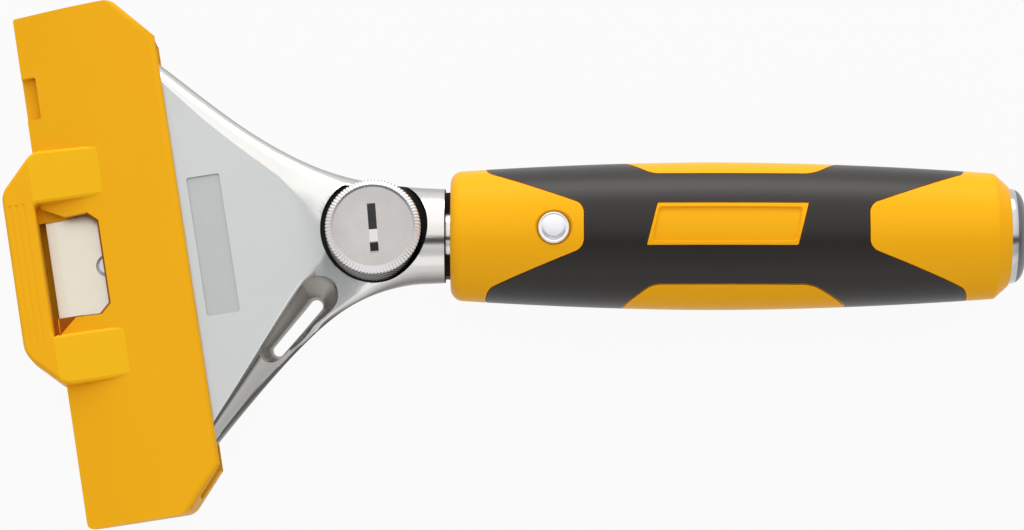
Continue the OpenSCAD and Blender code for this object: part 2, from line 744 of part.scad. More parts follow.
module blade_cover() {
    b = bumper_l / 2;
    f = bumper_front_l / 2;
    g = arm_gap / 2;
    w = window_l / 2;
    c = window_corner;
    top = cover_half - notch_at;
    drop_z = plate_z - clamp_travel - free_gap;
    lows = [drop_z, blade_z - crease_h + cover_wall, blade_z - mouth_h + cover_wall];
    past = jaw_step + 1;
    cut = cover_half - cover_corner_l * (1 + past / cover_corner);
    color(yellow) in_head() difference() {
        union() {
            along_blade(cover_half) cover_profile();
            upright(blade_z - nose_h, arm_z) difference() {
                polygon([[bar_u, -f], [bar_u, f], [nose_u, b], [crease_u, b],
                         [crease_u, -b], [nose_u, -b]]);
                polygon([[bar_back_u, -g], [bar_back_u, g], [crease_u + 1, g], [crease_u + 1, -g]]);
            }
            upright(blade_z - nose_h, sill_z) translate([bar_back_u - skin, -g - skin])
                square([nose_u - bar_back_u + 2 * skin, 2 * (g + skin)]);
        }
        along_blade(plate_half + free_gap) hollow_profile(lows);
        along_blade(cover_half - cover_end) hollow_profile([drop_z, drop_z, drop_z]);
        upright(sill_z, far) polygon([
            [bar_back_u, -w], [bar_back_u, w], [window_back - c, w], [window_back, w - c],
            [window_back, c - w], [window_back - c, -w]]);
        upright(notch_z, far) translate([nose_u - 1, top - notch_l]) square([notch_w + 1, notch_l]);
        for (s = [-1, 1]) upright(-far, far) polygon([
            [mouth_u - cover_corner, s * cover_half], [mouth_u + past, s * cut],
            [mouth_u + past, s * (cover_half + 1)], [mouth_u - cover_corner, s * (cover_half + 1)]]);
    }
}

head_casting();
clamp_plate();
blade();
blade_pin();
guide_pin_upper();
guide_pin_lower();
clamp_knob();
clamp_screw();
knob_washer();
retaining_ring();
lift_spring();
threaded_bush();
core_rod();
handle_core();
grip_sleeve();
handle_pin();
strike_cap();
blade_cover();
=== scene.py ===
"""Looks of a heavy-duty scraper: cast head, clamping knob, covered blade and two-material handle.

Shapes are modelled in millimetres and set down in the frame's metres. In the head, u runs back from the cutting
edge and v along it; elsewhere x runs along the handle, y across it and z up through the knob.
"""

import json
import logging
import math
from contextlib import contextmanager
from dataclasses import dataclass, field
from enum import Enum
from typing import Callable, Iterable, Iterator, Sequence

import bmesh
import bpy
from bmesh.types import BMEdge, BMesh, BMFace, BMVert
from bpy.types import Material, MeshPolygon, Node, NodeSocket, NodeTree, Object
from mathutils import Matrix, Vector


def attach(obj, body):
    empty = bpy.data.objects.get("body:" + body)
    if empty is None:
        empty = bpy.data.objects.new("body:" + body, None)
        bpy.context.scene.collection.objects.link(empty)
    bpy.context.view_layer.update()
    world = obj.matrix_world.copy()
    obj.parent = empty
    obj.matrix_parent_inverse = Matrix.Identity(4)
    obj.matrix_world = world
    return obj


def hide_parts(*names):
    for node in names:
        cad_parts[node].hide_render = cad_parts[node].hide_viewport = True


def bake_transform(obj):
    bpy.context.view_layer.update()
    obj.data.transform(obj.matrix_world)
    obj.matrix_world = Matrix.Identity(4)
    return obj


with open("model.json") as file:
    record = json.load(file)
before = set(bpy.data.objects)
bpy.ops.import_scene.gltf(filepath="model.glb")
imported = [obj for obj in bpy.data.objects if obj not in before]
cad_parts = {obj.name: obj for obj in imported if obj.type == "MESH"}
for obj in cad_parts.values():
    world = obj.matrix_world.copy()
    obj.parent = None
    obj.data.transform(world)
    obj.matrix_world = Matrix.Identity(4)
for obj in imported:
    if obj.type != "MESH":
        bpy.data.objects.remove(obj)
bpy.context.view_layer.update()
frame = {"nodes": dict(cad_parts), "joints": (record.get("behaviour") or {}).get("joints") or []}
LOG = logging.getLogger("scraper")
# A millimetre in metres, how far cutters reach past the part, facets across a rounded corner, distance within which
# points merge, and name of the casting's slope attribute.
MM = 0.001
FAR = 60.0
ARC = 6
MERGE = 1e-4
TILT = "tilt"
Outline = Sequence[tuple[float, float]]


def linear(code: str) -> tuple[float, float, float, float]:
    """Turns an sRGB hex value into linear RGBA."""
    parts = (int(code[i : i + 2], 16) / 255 for i in (1, 3, 5))
    return (*(c / 12.92 if c <= 0.04045 else ((c + 0.055) / 1.055) ** 2.4 for c in parts), 1.0)


def add(tree: NodeTree, kind: str, links: dict | None = None, **settings: object) -> Node:
    """Adds a shader node with its settings, values and links.

    Args:
        tree: node tree that gets the node.
        kind: node type without its ShaderNode prefix.
        links: input name or number, with the output that feeds it or its plain value.
        settings: the node's own properties.

    Returns:
        The new node.
    """
    node = tree.nodes.new("ShaderNode" + kind)
    for name, value in settings.items():
        setattr(node, name, value)
    for key, value in (links or {}).items():
        if isinstance(value, NodeSocket):
            tree.links.new(value, node.inputs[key])
        else:
            node.inputs[key].default_value = value
    return node


class Grain(Enum):
    """How a surface was made, which sets the shape of its fine pattern."""

    SPARK = "fine pits of a spark-eroded mould"
    BLAST = "small dents of shot blasting"
    POLISH = "slow waves left by buffing a casting"
    BRUSH = "straight grinding lines"
    TURN = "rings left by a lathe"


@dataclass(frozen=True)
class Finish:
    """A surface finish, drawn on Object coordinates.

    The second colour drifts through the first in patches, and the grain sets both bump and roughness.
    """

    name: str
    colour: str
    drift_colour: str
    roughness: float
    grain: Grain
    grain_mm: float
    grain_depth_mm: float
    drift_mm: float = 25.0
    roughness_swing: float = 0.06
    metallic: float = 0.0
    ior: float | None = None
    gloss: float | None = None
    turn_deg: float = 0.0
    centre_mm: tuple[float, float, float] = (0.0, 0.0, 0.0)

    def material(self) -> Material:
        """Returns the finish's material, made at its first use."""
        made = bpy.data.materials.get(self.name)
        if made is None:
            made = bpy.data.materials.new(self.name)
            made.use_nodes = True
            self._dress(made.node_tree, made.node_tree.nodes["Principled BSDF"])
        return made

    def _dress(self, tree: NodeTree, shader: Node) -> None:
        """Builds the colour drift, grain bump and roughness.

        Args:
            tree: the material's nodes.
            shader: its principled shader.
        """
        shader.inputs["Metallic"].default_value = self.metallic
        if self.ior is not None:
            shader.inputs["IOR"].default_value = self.ior
        if self.gloss is not None:
            shader.inputs["Specular IOR Level"].default_value = self.gloss
        place = add(tree, "TexCoord").outputs["Object"]
        drift = add(tree, "TexNoise", {"Vector": place, "Scale": 1 / (self.drift_mm * MM), "Detail": 3.0})
        tone = add(
            tree,
            "Mix",
            {0: drift.outputs["Fac"], 6: linear(self.colour), 7: linear(self.drift_colour)},
            data_type="RGBA",
        )
        tree.links.new(tone.outputs[2], shader.inputs["Base Color"])
        height = self._grain(tree, place)
        low, high = self.roughness - self.roughness_swing, self.roughness + self.roughness_swing
        spread = add(tree, "MapRange", {"Value": height, "To Min": low, "To Max": high})
        tree.links.new(spread.outputs["Result"], shader.inputs["Roughness"])
        bump = add(tree, "Bump", {"Height": height, "Distance": self.grain_depth_mm * MM})
        tree.links.new(bump.outputs["Normal"], shader.inputs["Normal"])

    def _grain(self, tree: NodeTree, place: NodeSocket) -> NodeSocket:
        """Draws the fine pattern.

        Args:
            tree: the material's nodes.
            place: Object coordinates.

        Returns:
            Height of the pattern, from 0 to 1.
        """
        scale = 1 / (self.grain_mm * MM)
        if self.grain is Grain.BRUSH:
            turned = {"Vector": place, "Rotation": (0.0, 0.0, math.radians(-self.turn_deg))}
            lines = add(tree, "Mapping", turned | {"Scale": (0.04, 1.0, 1.0)})
            noise = add(tree, "TexNoise", {"Vector": lines.outputs["Vector"], "Scale": scale, "Detail": 4.0})
            return noise.outputs["Fac"]
        if self.grain is Grain.TURN:
            centre = Vector(self.centre_mm) * -MM
            middle = add(tree, "Mapping", {"Vector": place, "Location": centre})
            rings = add(
                tree,
                "TexWave",
                {"Vector": middle.outputs["Vector"], "Scale": 0.1 * math.pi * scale, "Distortion": 1.2, "Detail": 2.0},
                wave_type="RINGS",
                rings_direction="Z",
            )
            return rings.outputs["Fac"]
        detail = {Grain.SPARK: 2.0, Grain.BLAST: 5.0, Grain.POLISH: 0.0}[self.grain]
        return add(tree, "TexNoise", {"Vector": place, "Scale": scale, "Detail": detail}).outputs["Fac"]


@dataclass(frozen=True)
class CastFinish(Finish):
    """Cast alloy that turns from blasted flats to buffed slopes, and to a darker cast skin on upright edges that is
    painted darker still as shade.

    It reads the piece's own tilt attribute, which is 0 on the level and 1 on an upright face.
    """

    buffed_colour: str = "#DCDBD7"
    buffed_roughness: float = 0.17
    buffed_from: tuple[float, float] = (3.5, 11.0)
    skin_shade_colour: str = "#55524E"
    skin_shade_from: tuple[float, float] = (44.0, 84.0)

    def _dress(self, tree: NodeTree, shader: Node) -> None:
        """Adds the buffed slopes and the cast skin, darkened as painted shade, to the blasted finish.

        Args:
            tree: the material's nodes.
            shader: its principled shader.
        """
        super()._dress(tree, shader)
        tilt = add(tree, "Attribute", attribute_name=TILT).outputs["Fac"]
        shares = []
        for low, high in (self.buffed_from, self.skin_shade_from):
            span = {"Value": tilt, "From Min": low / 90, "From Max": high / 90}
            shares.append(add(tree, "MapRange", span, interpolation_type="SMOOTHSTEP").outputs["Result"])
        tone = shader.inputs["Base Color"].links[0].from_socket
        for share, colour in zip(shares, (self.buffed_colour, self.skin_shade_colour)):
            tone = add(tree, "Mix", {0: share, 6: tone, 7: linear(colour)}, data_type="RGBA").outputs[2]
        tree.links.new(tone, shader.inputs["Base Color"])
        rough = shader.inputs["Roughness"].links[0].from_socket
        even = add(tree, "Mix", {0: shares[0], 2: rough, 3: self.buffed_roughness})
        tree.links.new(even.outputs[0], shader.inputs["Roughness"])
        bump = shader.inputs["Normal"].links[0].from_node
        dents = add(tree, "Math", {0: 1.0, 1: shares[0]}, operation="SUBTRACT")
        dents = add(tree, "Math", {0: dents.outputs[0], 1: 3.0}, operation="POWER")
        tree.links.new(dents.outputs[0], bump.inputs["Strength"])


@dataclass(frozen=True)
class KnurlGlintFinish(Finish):
    """Knurled steel, with painted glints on the crests over grooves painted dark as shade."""

    crest_glint_colour: str = "#D2D0CD"
    crest_glint_mm: tuple[float, float] = (9.68, 9.75)

    def _dress(self, tree: NodeTree, shader: Node) -> None:
        """Paints the glints on the crests by their distance from the axis.

        Args:
            tree: the material's nodes.
            shader: its principled shader.
        """
        super()._dress(tree, shader)
        x, y, _ = self.centre_mm
        middle = {"Location": (-x * MM, -y * MM, 0.0), "Scale": (1.0, 1.0, 0.0)}
        flat = add(tree, "Mapping", {"Vector": add(tree, "TexCoord").outputs["Object"]} | middle)
        reach = add(tree, "VectorMath", {0: flat.outputs["Vector"]}, operation="LENGTH").outputs["Value"]
        low, high = self.crest_glint_mm
        share = add(tree, "MapRange", {"Value": reach, "From Min": low * MM, "From Max": high * MM})
        tone = shader.inputs["Base Color"].links[0].from_socket
        crests = {0: share.outputs["Result"], 6: tone, 7: linear(self.crest_glint_colour)}
        tree.links.new(add(tree, "Mix", crests, data_type="RGBA").outputs[2], shader.inputs["Base Color"])


# Moulded polypropylene: warm deep yellow, satin, with a fine mould grain drawn about twice its real size to show.
COVER_PLASTIC = Finish(
    "moulded polypropylene, cover", "#F6B31A", "#F2AE17", 0.42, Grain.SPARK, 0.5, 0.006, ior=1.49, gloss=0.05
)
# Moulded polypropylene, polished in the mould and painted lighter: a painted highlight on the bumper arms' tops, for
# the extra light they catch over the grained shell.
SMOOTH_LIT_PLASTIC = Finish(
    "moulded polypropylene, polished, painted light", "#F8BC1C", "#F6B91A", 0.34, Grain.SPARK, 0.8, 0.003, ior=1.49, gloss=0.05
)
# Moulded polypropylene with painted shade: darker than the cover, painted on the line round the window and its lower
# corner where shade falls.
PAINTED_SHADE_PLASTIC = Finish(
    "moulded polypropylene, painted shade", "#A86014", "#9C5810", 0.55, Grain.SPARK, 0.5, 0.006, ior=1.49, gloss=0.05
)
# Moulded polypropylene: brighter and smoother than the cover, with a soft highlight.
HANDLE_PLASTIC = Finish(
    "moulded polypropylene, handle", "#FDB71A", "#FAB217", 0.32, Grain.SPARK, 0.6, 0.004, ior=1.49, gloss=0.05
)
# Moulded thermoplastic rubber: near black, dull, with a fine grain that breaks the highlight up.
GRIP_RUBBER = Finish(
    "moulded thermoplastic rubber", "#26221F", "#211D1B", 0.37, Grain.SPARK, 0.35, 0.012, ior=1.52, gloss=0.32,
    roughness_swing=0.1,
)
# Cast aluminium alloy: flats shot-blasted to an even pale grey with a fine sparkle, drawn coarse enough to show,
# slopes buffed nearly to a mirror, and the cast skin round the outer edge painted dark as shade.
CAST_ALLOY = CastFinish(
    "cast aluminium, blasted and buffed", "#D1D4D3", "#CACDCC", 0.46, Grain.BLAST, 0.45, 0.016, metallic=1.0,
    roughness_swing=0.08,
)
# Shot-blasted aluminium alloy: even pale grey all over.
BLASTED_ALLOY = Finish(
    "shot-blasted aluminium", "#C4C6C5", "#BCBEBD", 0.48, Grain.BLAST, 0.5, 0.02, metallic=1.0, roughness_swing=0.08
)
# As-cast aluminium in the slot's pocket: mid grey, with the soft skin of the mould.
POCKET_ALLOY = Finish("as-cast aluminium, pocket", "#A3A09A", "#989590", 0.4, Grain.BLAST, 0.7, 0.02, metallic=1.0)
# As-cast aluminium, dull where no tool has been and painted dark as shade: the knob's recess, the collar's end face and
# the block in the gap to the handle.
CAST_SHADE_ALLOY = Finish("as-cast aluminium, painted shade", "#4A4846", "#3C3A38", 0.6, Grain.BLAST, 0.6, 0.02, metallic=1.0)
# Blade steel with a thin film of oil: warm pale grey, with fine rolling lines along the strip.
BLADE_STEEL = Finish(
    "rolled blade steel, oiled", "#E4DCCC", "#DDD5C6", 0.36, Grain.BRUSH, 0.25, 0.002, metallic=1.0, turn_deg=99.2
)
# Ground cutting bevel: a paler strip with fine grinding lines across it.
BLADE_BEVEL = Finish(
    "ground blade bevel", "#E9E2D3", "#E2DBCC", 0.4, Grain.BRUSH, 0.2, 0.002, metallic=1.0, turn_deg=9.2
)
# Zinc-plated steel, turned: soft grey with faint rings.
PLAIN_STEEL = Finish("zinc-plated steel", "#BDBCBA", "#B2B1AF", 0.32, Grain.BLAST, 0.4, 0.004, metallic=1.0)
# Milled steel in the coin slot: smooth, so that its floors turn bright or dark with their slope.
MILLED_STEEL = Finish(
    "milled steel", "#C9C9CA", "#C0C0C2", 0.09, Grain.POLISH, 3.0, 0.002, metallic=1.0, roughness_swing=0.02
)
# Polished steel: bright, with a few slow waves.
BRIGHT_STEEL = Finish("polished steel", "#C4C4C7", "#BBBBBE", 0.18, Grain.POLISH, 4.0, 0.006, metallic=1.0)
# Steel of the cap's end: darker and duller than its rim, on the faces that turn to the butt.
DARK_CAP_STEEL = Finish("darker steel, cap end", "#7C7C7F", "#6C6C70", 0.36, Grain.BLAST, 0.6, 0.01, metallic=1.0, drift_mm=4.0)
# Satin nickel: almost white, with soft reflections.
SATIN_STEEL = Finish("satin nickel plate", "#EEEEF0", "#E6E6E9", 0.38, Grain.BLAST, 0.4, 0.003, metallic=1.0)
# Turned brass: yellow metal with faint rings.
TURNED_BRASS = Finish("turned brass", "#D1A95A", "#C79F50", 0.28, Grain.BLAST, 0.5, 0.004, metallic=1.0)


class Cut(Enum):
    """Ways to combine two solids."""

    JOIN = "UNION"
    TAKE = "DIFFERENCE"
    KEEP = "INTERSECT"


class Axis(Enum):
    """Axis that a turned shape spins about."""

    HANDLE = (1.0, 0.0, 0.0)
    UPRIGHT = (0.0, 0.0, 1.0)

    def point(self, along: float, radius: float) -> Vector:
        """Place of a profile point."""
        return Vector((along, 0.0, radius)) if self is Axis.HANDLE else Vector((radius, 0.0, along))

    def radius(self, point: Vector) -> float:
        """Distance of a point from the axis."""
        return point.cross(Vector(self.value)).length


def mix(a: float, b: float, t: float) -> float:
    """Value at share t between a and b."""
    return a + (b - a) * t


def smooth(t: float) -> float:
    """Soft step from 0 to 1."""
    t = min(1.0, max(0.0, t))
    return t * t * (3 - 2 * t)


def through(points: Outline, t: float) -> float:
    """Value at t on the straight runs through a few (t, value) points."""
    for (t0, a), (t1, b) in zip(points, points[1:]):
        if t <= t1:
            return mix(a, b, min(1.0, max(0.0, (t - t0) / (t1 - t0))))
    return points[-1][1]


def bezier(pull: Sequence[Vector], t: float) -> Vector:
    """Point at t on a cubic curve."""
    s = 1 - t
    return s**3 * pull[0] + 3 * s * s * t * pull[1] + 3 * s * t * t * pull[2] + t**3 * pull[3]


def heading(degrees: float) -> Vector:
    """Flat unit vector at an angle."""
    return Vector((math.cos(math.radians(degrees)), math.sin(math.radians(degrees))))


def round_corners(bm: BMesh, corners: Sequence[BMVert], cuts: Sequence[float]) -> None:
    """Rounds the corners of a flat face.

    Args:
        bm: mesh with the face.
        corners: its corners in order.
        cuts: how far each corner is cut back along its edges, in mm; 0 keeps it sharp.
    """
    for corner, cut in zip(corners, cuts):
        if cut:
            bmesh.ops.bevel(
                bm, geom=[corner], affect="VERTICES", offset=cut, segments=ARC, profile=0.5, material=-1
            )


def slab(outline: Outline, low: float, high: float, cuts: Sequence[float] = (), inset: float = 0.0) -> BMesh:
    """Extrudes a flat outline upwards.

    Args:
        outline: its corners.
        low: height of its bottom.
        high: height of its top.
        cuts: cut-back of each corner.
        inset: how far the outline is drawn in.

    Returns:
        The closed slab.
    """
    bm = bmesh.new()
    corners = [bm.verts.new((x, y, low)) for x, y in outline]
    bm.faces.new(corners)
    round_corners(bm, corners, cuts)
    if inset:
        rim = bmesh.ops.inset_region(
            bm, faces=bm.faces[:], thickness=inset, use_boundary=True, use_even_offset=True
        )["faces"]
        bmesh.ops.delete(bm, geom=rim, context="FACES")
    grown = bmesh.ops.extrude_face_region(bm, geom=bm.faces[:])["geom"]
    bmesh.ops.translate(bm, vec=(0, 0, high - low), verts=[g for g in grown if isinstance(g, BMVert)])
    bmesh.ops.recalc_face_normals(bm, faces=bm.faces[:])
    return bm


def lathe(outline: Outline, axis: Axis, cuts: Sequence[float] = (), steps: int = 96) -> BMesh:
    """Spins a half profile into a closed solid.

    Args:
        outline: its corners as (along, radius), the first and last on the axis.
        axis: axis to spin about.
        cuts: cut-back of each corner.
        steps: facets in a full turn.

    Returns:
        The closed solid.
    """
    bm = bmesh.new()
    corners = [bm.verts.new(axis.point(*p)) for p in outline]
    bm.faces.new(corners)
    round_corners(bm, corners, cuts)
    bmesh.ops.delete(bm, geom=bm.faces[:], context="FACES_ONLY")
    spine = [e for e in bm.edges if all(axis.radius(v.co) < 1e-6 for v in e.verts)]
    bmesh.ops.delete(bm, geom=spine, context="EDGES")
    profile = bm.verts[:] + bm.edges[:]
    bmesh.ops.spin(
        bm, geom=profile, cent=(0, 0, 0), axis=axis.value, angle=math.tau, steps=steps, use_merge=True
    )
    bmesh.ops.remove_doubles(bm, verts=bm.verts[:], dist=MERGE)
    bmesh.ops.recalc_face_normals(bm, faces=bm.faces[:])
    return bm


def rod(axis: Axis, low: float, high: float, radius: float, steps: int = 96) -> BMesh:
    """Round cutter from low to high along an axis."""
    return lathe([(low, 0), (low, radius), (high, radius), (high, 0)], axis, steps=steps)


def along_blade(outline: Outline, half: float) -> BMesh:
    """Runs a profile of u and z along the blade, to both sides of its middle."""
    bm = slab(outline, -half, half)
    bmesh.ops.rotate(bm, matrix=Matrix.Rotation(math.pi / 2, 3, "X"), verts=bm.verts[:])
    return bm


def skin(rings: Sequence[Sequence[Vector]]) -> BMesh:
    """Bridges rings of points into a closed solid.

    Args:
        rings: rings with the same number of points.

    Returns:
        The closed solid.
    """
    bm = bmesh.new()
    loops = []
    for ring in rings:
        verts = [bm.verts.new(p) for p in ring]
        loops.append([bm.edges.new(pair) for pair in zip(verts, verts[1:] + verts[:1])])
    for first, second in zip(loops, loops[1:]):
        bmesh.ops.bridge_loops(bm, edges=first + second)
    bmesh.ops.holes_fill(bm, edges=loops[0] + loops[-1], sides=0)
    bmesh.ops.recalc_face_normals(bm, faces=bm.faces[:])
    return bm


def soften(bm: BMesh, edges: Iterable[BMEdge], width: float, segments: int = 3) -> list[BMFace]:
    """Rounds edges over.

    Args:
        bm: mesh with the edges.
        edges: edges to round.
        width: width of the rounding in mm.
        segments: facets across it.

    Returns:
        The new faces.
    """
    return bmesh.ops.bevel(
        bm, geom=list(edges), affect="EDGES", offset=width, segments=segments, profile=0.5, material=-1,
        clamp_overlap=True,
    )["faces"]


def sharp_edges(bm: BMesh, degrees: float = 30.0) -> list[BMEdge]:
    """Outer edges that turn by more than an angle."""
    limit = math.radians(degrees)
    return [e for e in bm.edges if e.is_manifold and e.is_convex and e.calc_face_angle() > limit]


def is_level(edge: BMEdge) -> bool:
    """Whether an edge runs at one height."""
    return len({round(v.co.z, 3) for v in edge.verts}) == 1


@contextmanager
def editing(made: Object) -> Iterator[BMesh]:
    """Opens an object's mesh for changes and writes it back."""
    bm = bmesh.new()
    bm.from_mesh(made.data)
    yield bm
    bm.to_mesh(made.data)
    bm.free()


def solid(bm: BMesh, finish: Finish, name: str = "tool", place: Matrix | None = None) -> Object:
    """Makes an object of a mesh, still in mm.

    Args:
        bm: the mesh, which is used up.
        finish: finish of all its faces.
        name: the object's name.
        place: move from the mesh's own place.

    Returns:
        The object.
    """
    mesh = bpy.data.meshes.new(name)
    if place is not None:
        bmesh.ops.transform(bm, matrix=place, verts=bm.verts[:])
    bm.to_mesh(mesh)
    bm.free()
    mesh.materials.append(finish.material())
    made = bpy.data.objects.new(name, mesh)
    bpy.context.scene.collection.objects.link(made)
    return made


def paint(made: Object, finish: Finish, chosen: Callable[[MeshPolygon], bool]) -> Object:
    """Gives some faces of a solid another finish.

    Args:
        made: the solid.
        finish: the other finish.
        chosen: tells which faces get it.

    Returns:
        The same solid.
    """
    made.data.materials.append(finish.material())
    for face in made.data.polygons:
        if chosen(face):
            face.material_index = len(made.data.materials) - 1
    return made


def combine(base: Object, *steps: tuple[Cut, Object]) -> Object:
    """Joins, cuts or keeps a solid by others, which are used up.

    Args:
        base: the solid that changes.
        steps: how, and with what, in order.

    Returns:
        The changed solid.
    """
    for way, tool in steps:
        step = base.modifiers.new(way.name, "BOOLEAN")
        step.operation, step.object, step.solver, step.material_mode = way.value, tool, "EXACT", "TRANSFER"
        graph = bpy.context.evaluated_depsgraph_get()
        base.data = bpy.data.meshes.new_from_object(base.evaluated_get(graph), depsgraph=graph)
        base.modifiers.clear()
        bpy.data.objects.remove(tool)
        # Doubled points and slivers left by a step would mislead the next one.
        with editing(base) as bm:
            bmesh.ops.remove_doubles(bm, verts=bm.verts[:], dist=MERGE)
            bmesh.ops.dissolve_degenerate(bm, edges=bm.edges[:], dist=MERGE)
    return base


def settle(
    made: Object,
    name: str,
    body: str,
    slot: str,
    *nodes: str,
    sharp: float = 32.0,
    onto: str = "",
    reach: Sequence[Vector] = (),
) -> Object:
    """Finishes a piece: scales it to metres, sets its shading and puts it in the frame.

    Args:
        made: the piece, in mm.
        name: its final name.
        body: the body it rides on.
        slot: the record's material slot; not used.
        nodes: CAD nodes that it stands for.
        sharp: angle from which an edge stays sharp.
        onto: body at the far end; when given, the piece is set down in the frame and rides on no body.
        reach: where its stretch starts and ends, in metres; not used.

    Returns:
        The finished piece.
    """
    with editing(made) as bm:
        bmesh.ops.remove_doubles(bm, verts=bm.verts[:], dist=2 * MERGE)
        bmesh.ops.dissolve_degenerate(bm, edges=bm.edges[:], dist=MERGE)
        bmesh.ops.recalc_face_normals(bm, faces=bm.faces[:])
        for face in bm.faces:
            face.smooth = True
        for edge in bm.edges:
            sides = edge.link_faces
            edge.smooth = (
                len(sides) == 2
                and sides[0].material_index == sides[1].material_index
                and edge.calc_face_angle() < math.radians(sharp)
            )
        bmesh.ops.scale(bm, vec=(MM, MM, MM), verts=bm.verts[:])
    made.name = made.data.name = name
    even = made.modifiers.new("even shading", "WEIGHTED_NORMAL")
    even.keep_sharp = True
    if onto:
        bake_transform(made)
    else:
        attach(made, body)
    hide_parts(*nodes)
    count = sum(len(p.vertices) - 2 for p in made.data.polygons)
    LOG.info("%s rides on %s, %d triangles", name, body, count)
    return made


@dataclass(frozen=True)
class HeadPlace:
    """Where the skewed head lies, read from the frame."""

    knob: Vector
    skew: float
    reach: float
    shift: float

    @classmethod
    def read(cls) -> "HeadPlace":
        """Takes the place from the cover's slide, the knob's axis and the blade.

        Returns:
            The head's place, in mm and radians.
        """
        joints = {j["name"]: j for j in frame["joints"]}
        slide = joints["cover_slide"]["axis"]
        skew = math.atan2(-slide[1], -slide[0])
        knob = Vector(joints["knob_turn"]["pos_m"]) / MM
        turn = Matrix.Rotation(-skew, 3, "Z")
        spots = [turn @ (v.co / MM - knob) for v in frame["nodes"]["blade"].data.vertices]
        along = [p.y for p in spots]
        return cls(knob, skew, -min(p.x for p in spots), (min(along) + max(along)) / 2)

    def matrix(self) -> Matrix:
        """Move from (u, v, z) to the row frame, in mm."""
        at_knob = Matrix.Translation(self.knob) @ Matrix.Rotation(self.skew, 4, "Z")
        return at_knob @ Matrix.Translation((-self.reach, self.shift, 0))

    def flat(self, u: float, v: float) -> Vector:
        """Row-frame place of a point of the head's plan."""
        return (self.matrix() @ Vector((u, v, 0))).to_2d()


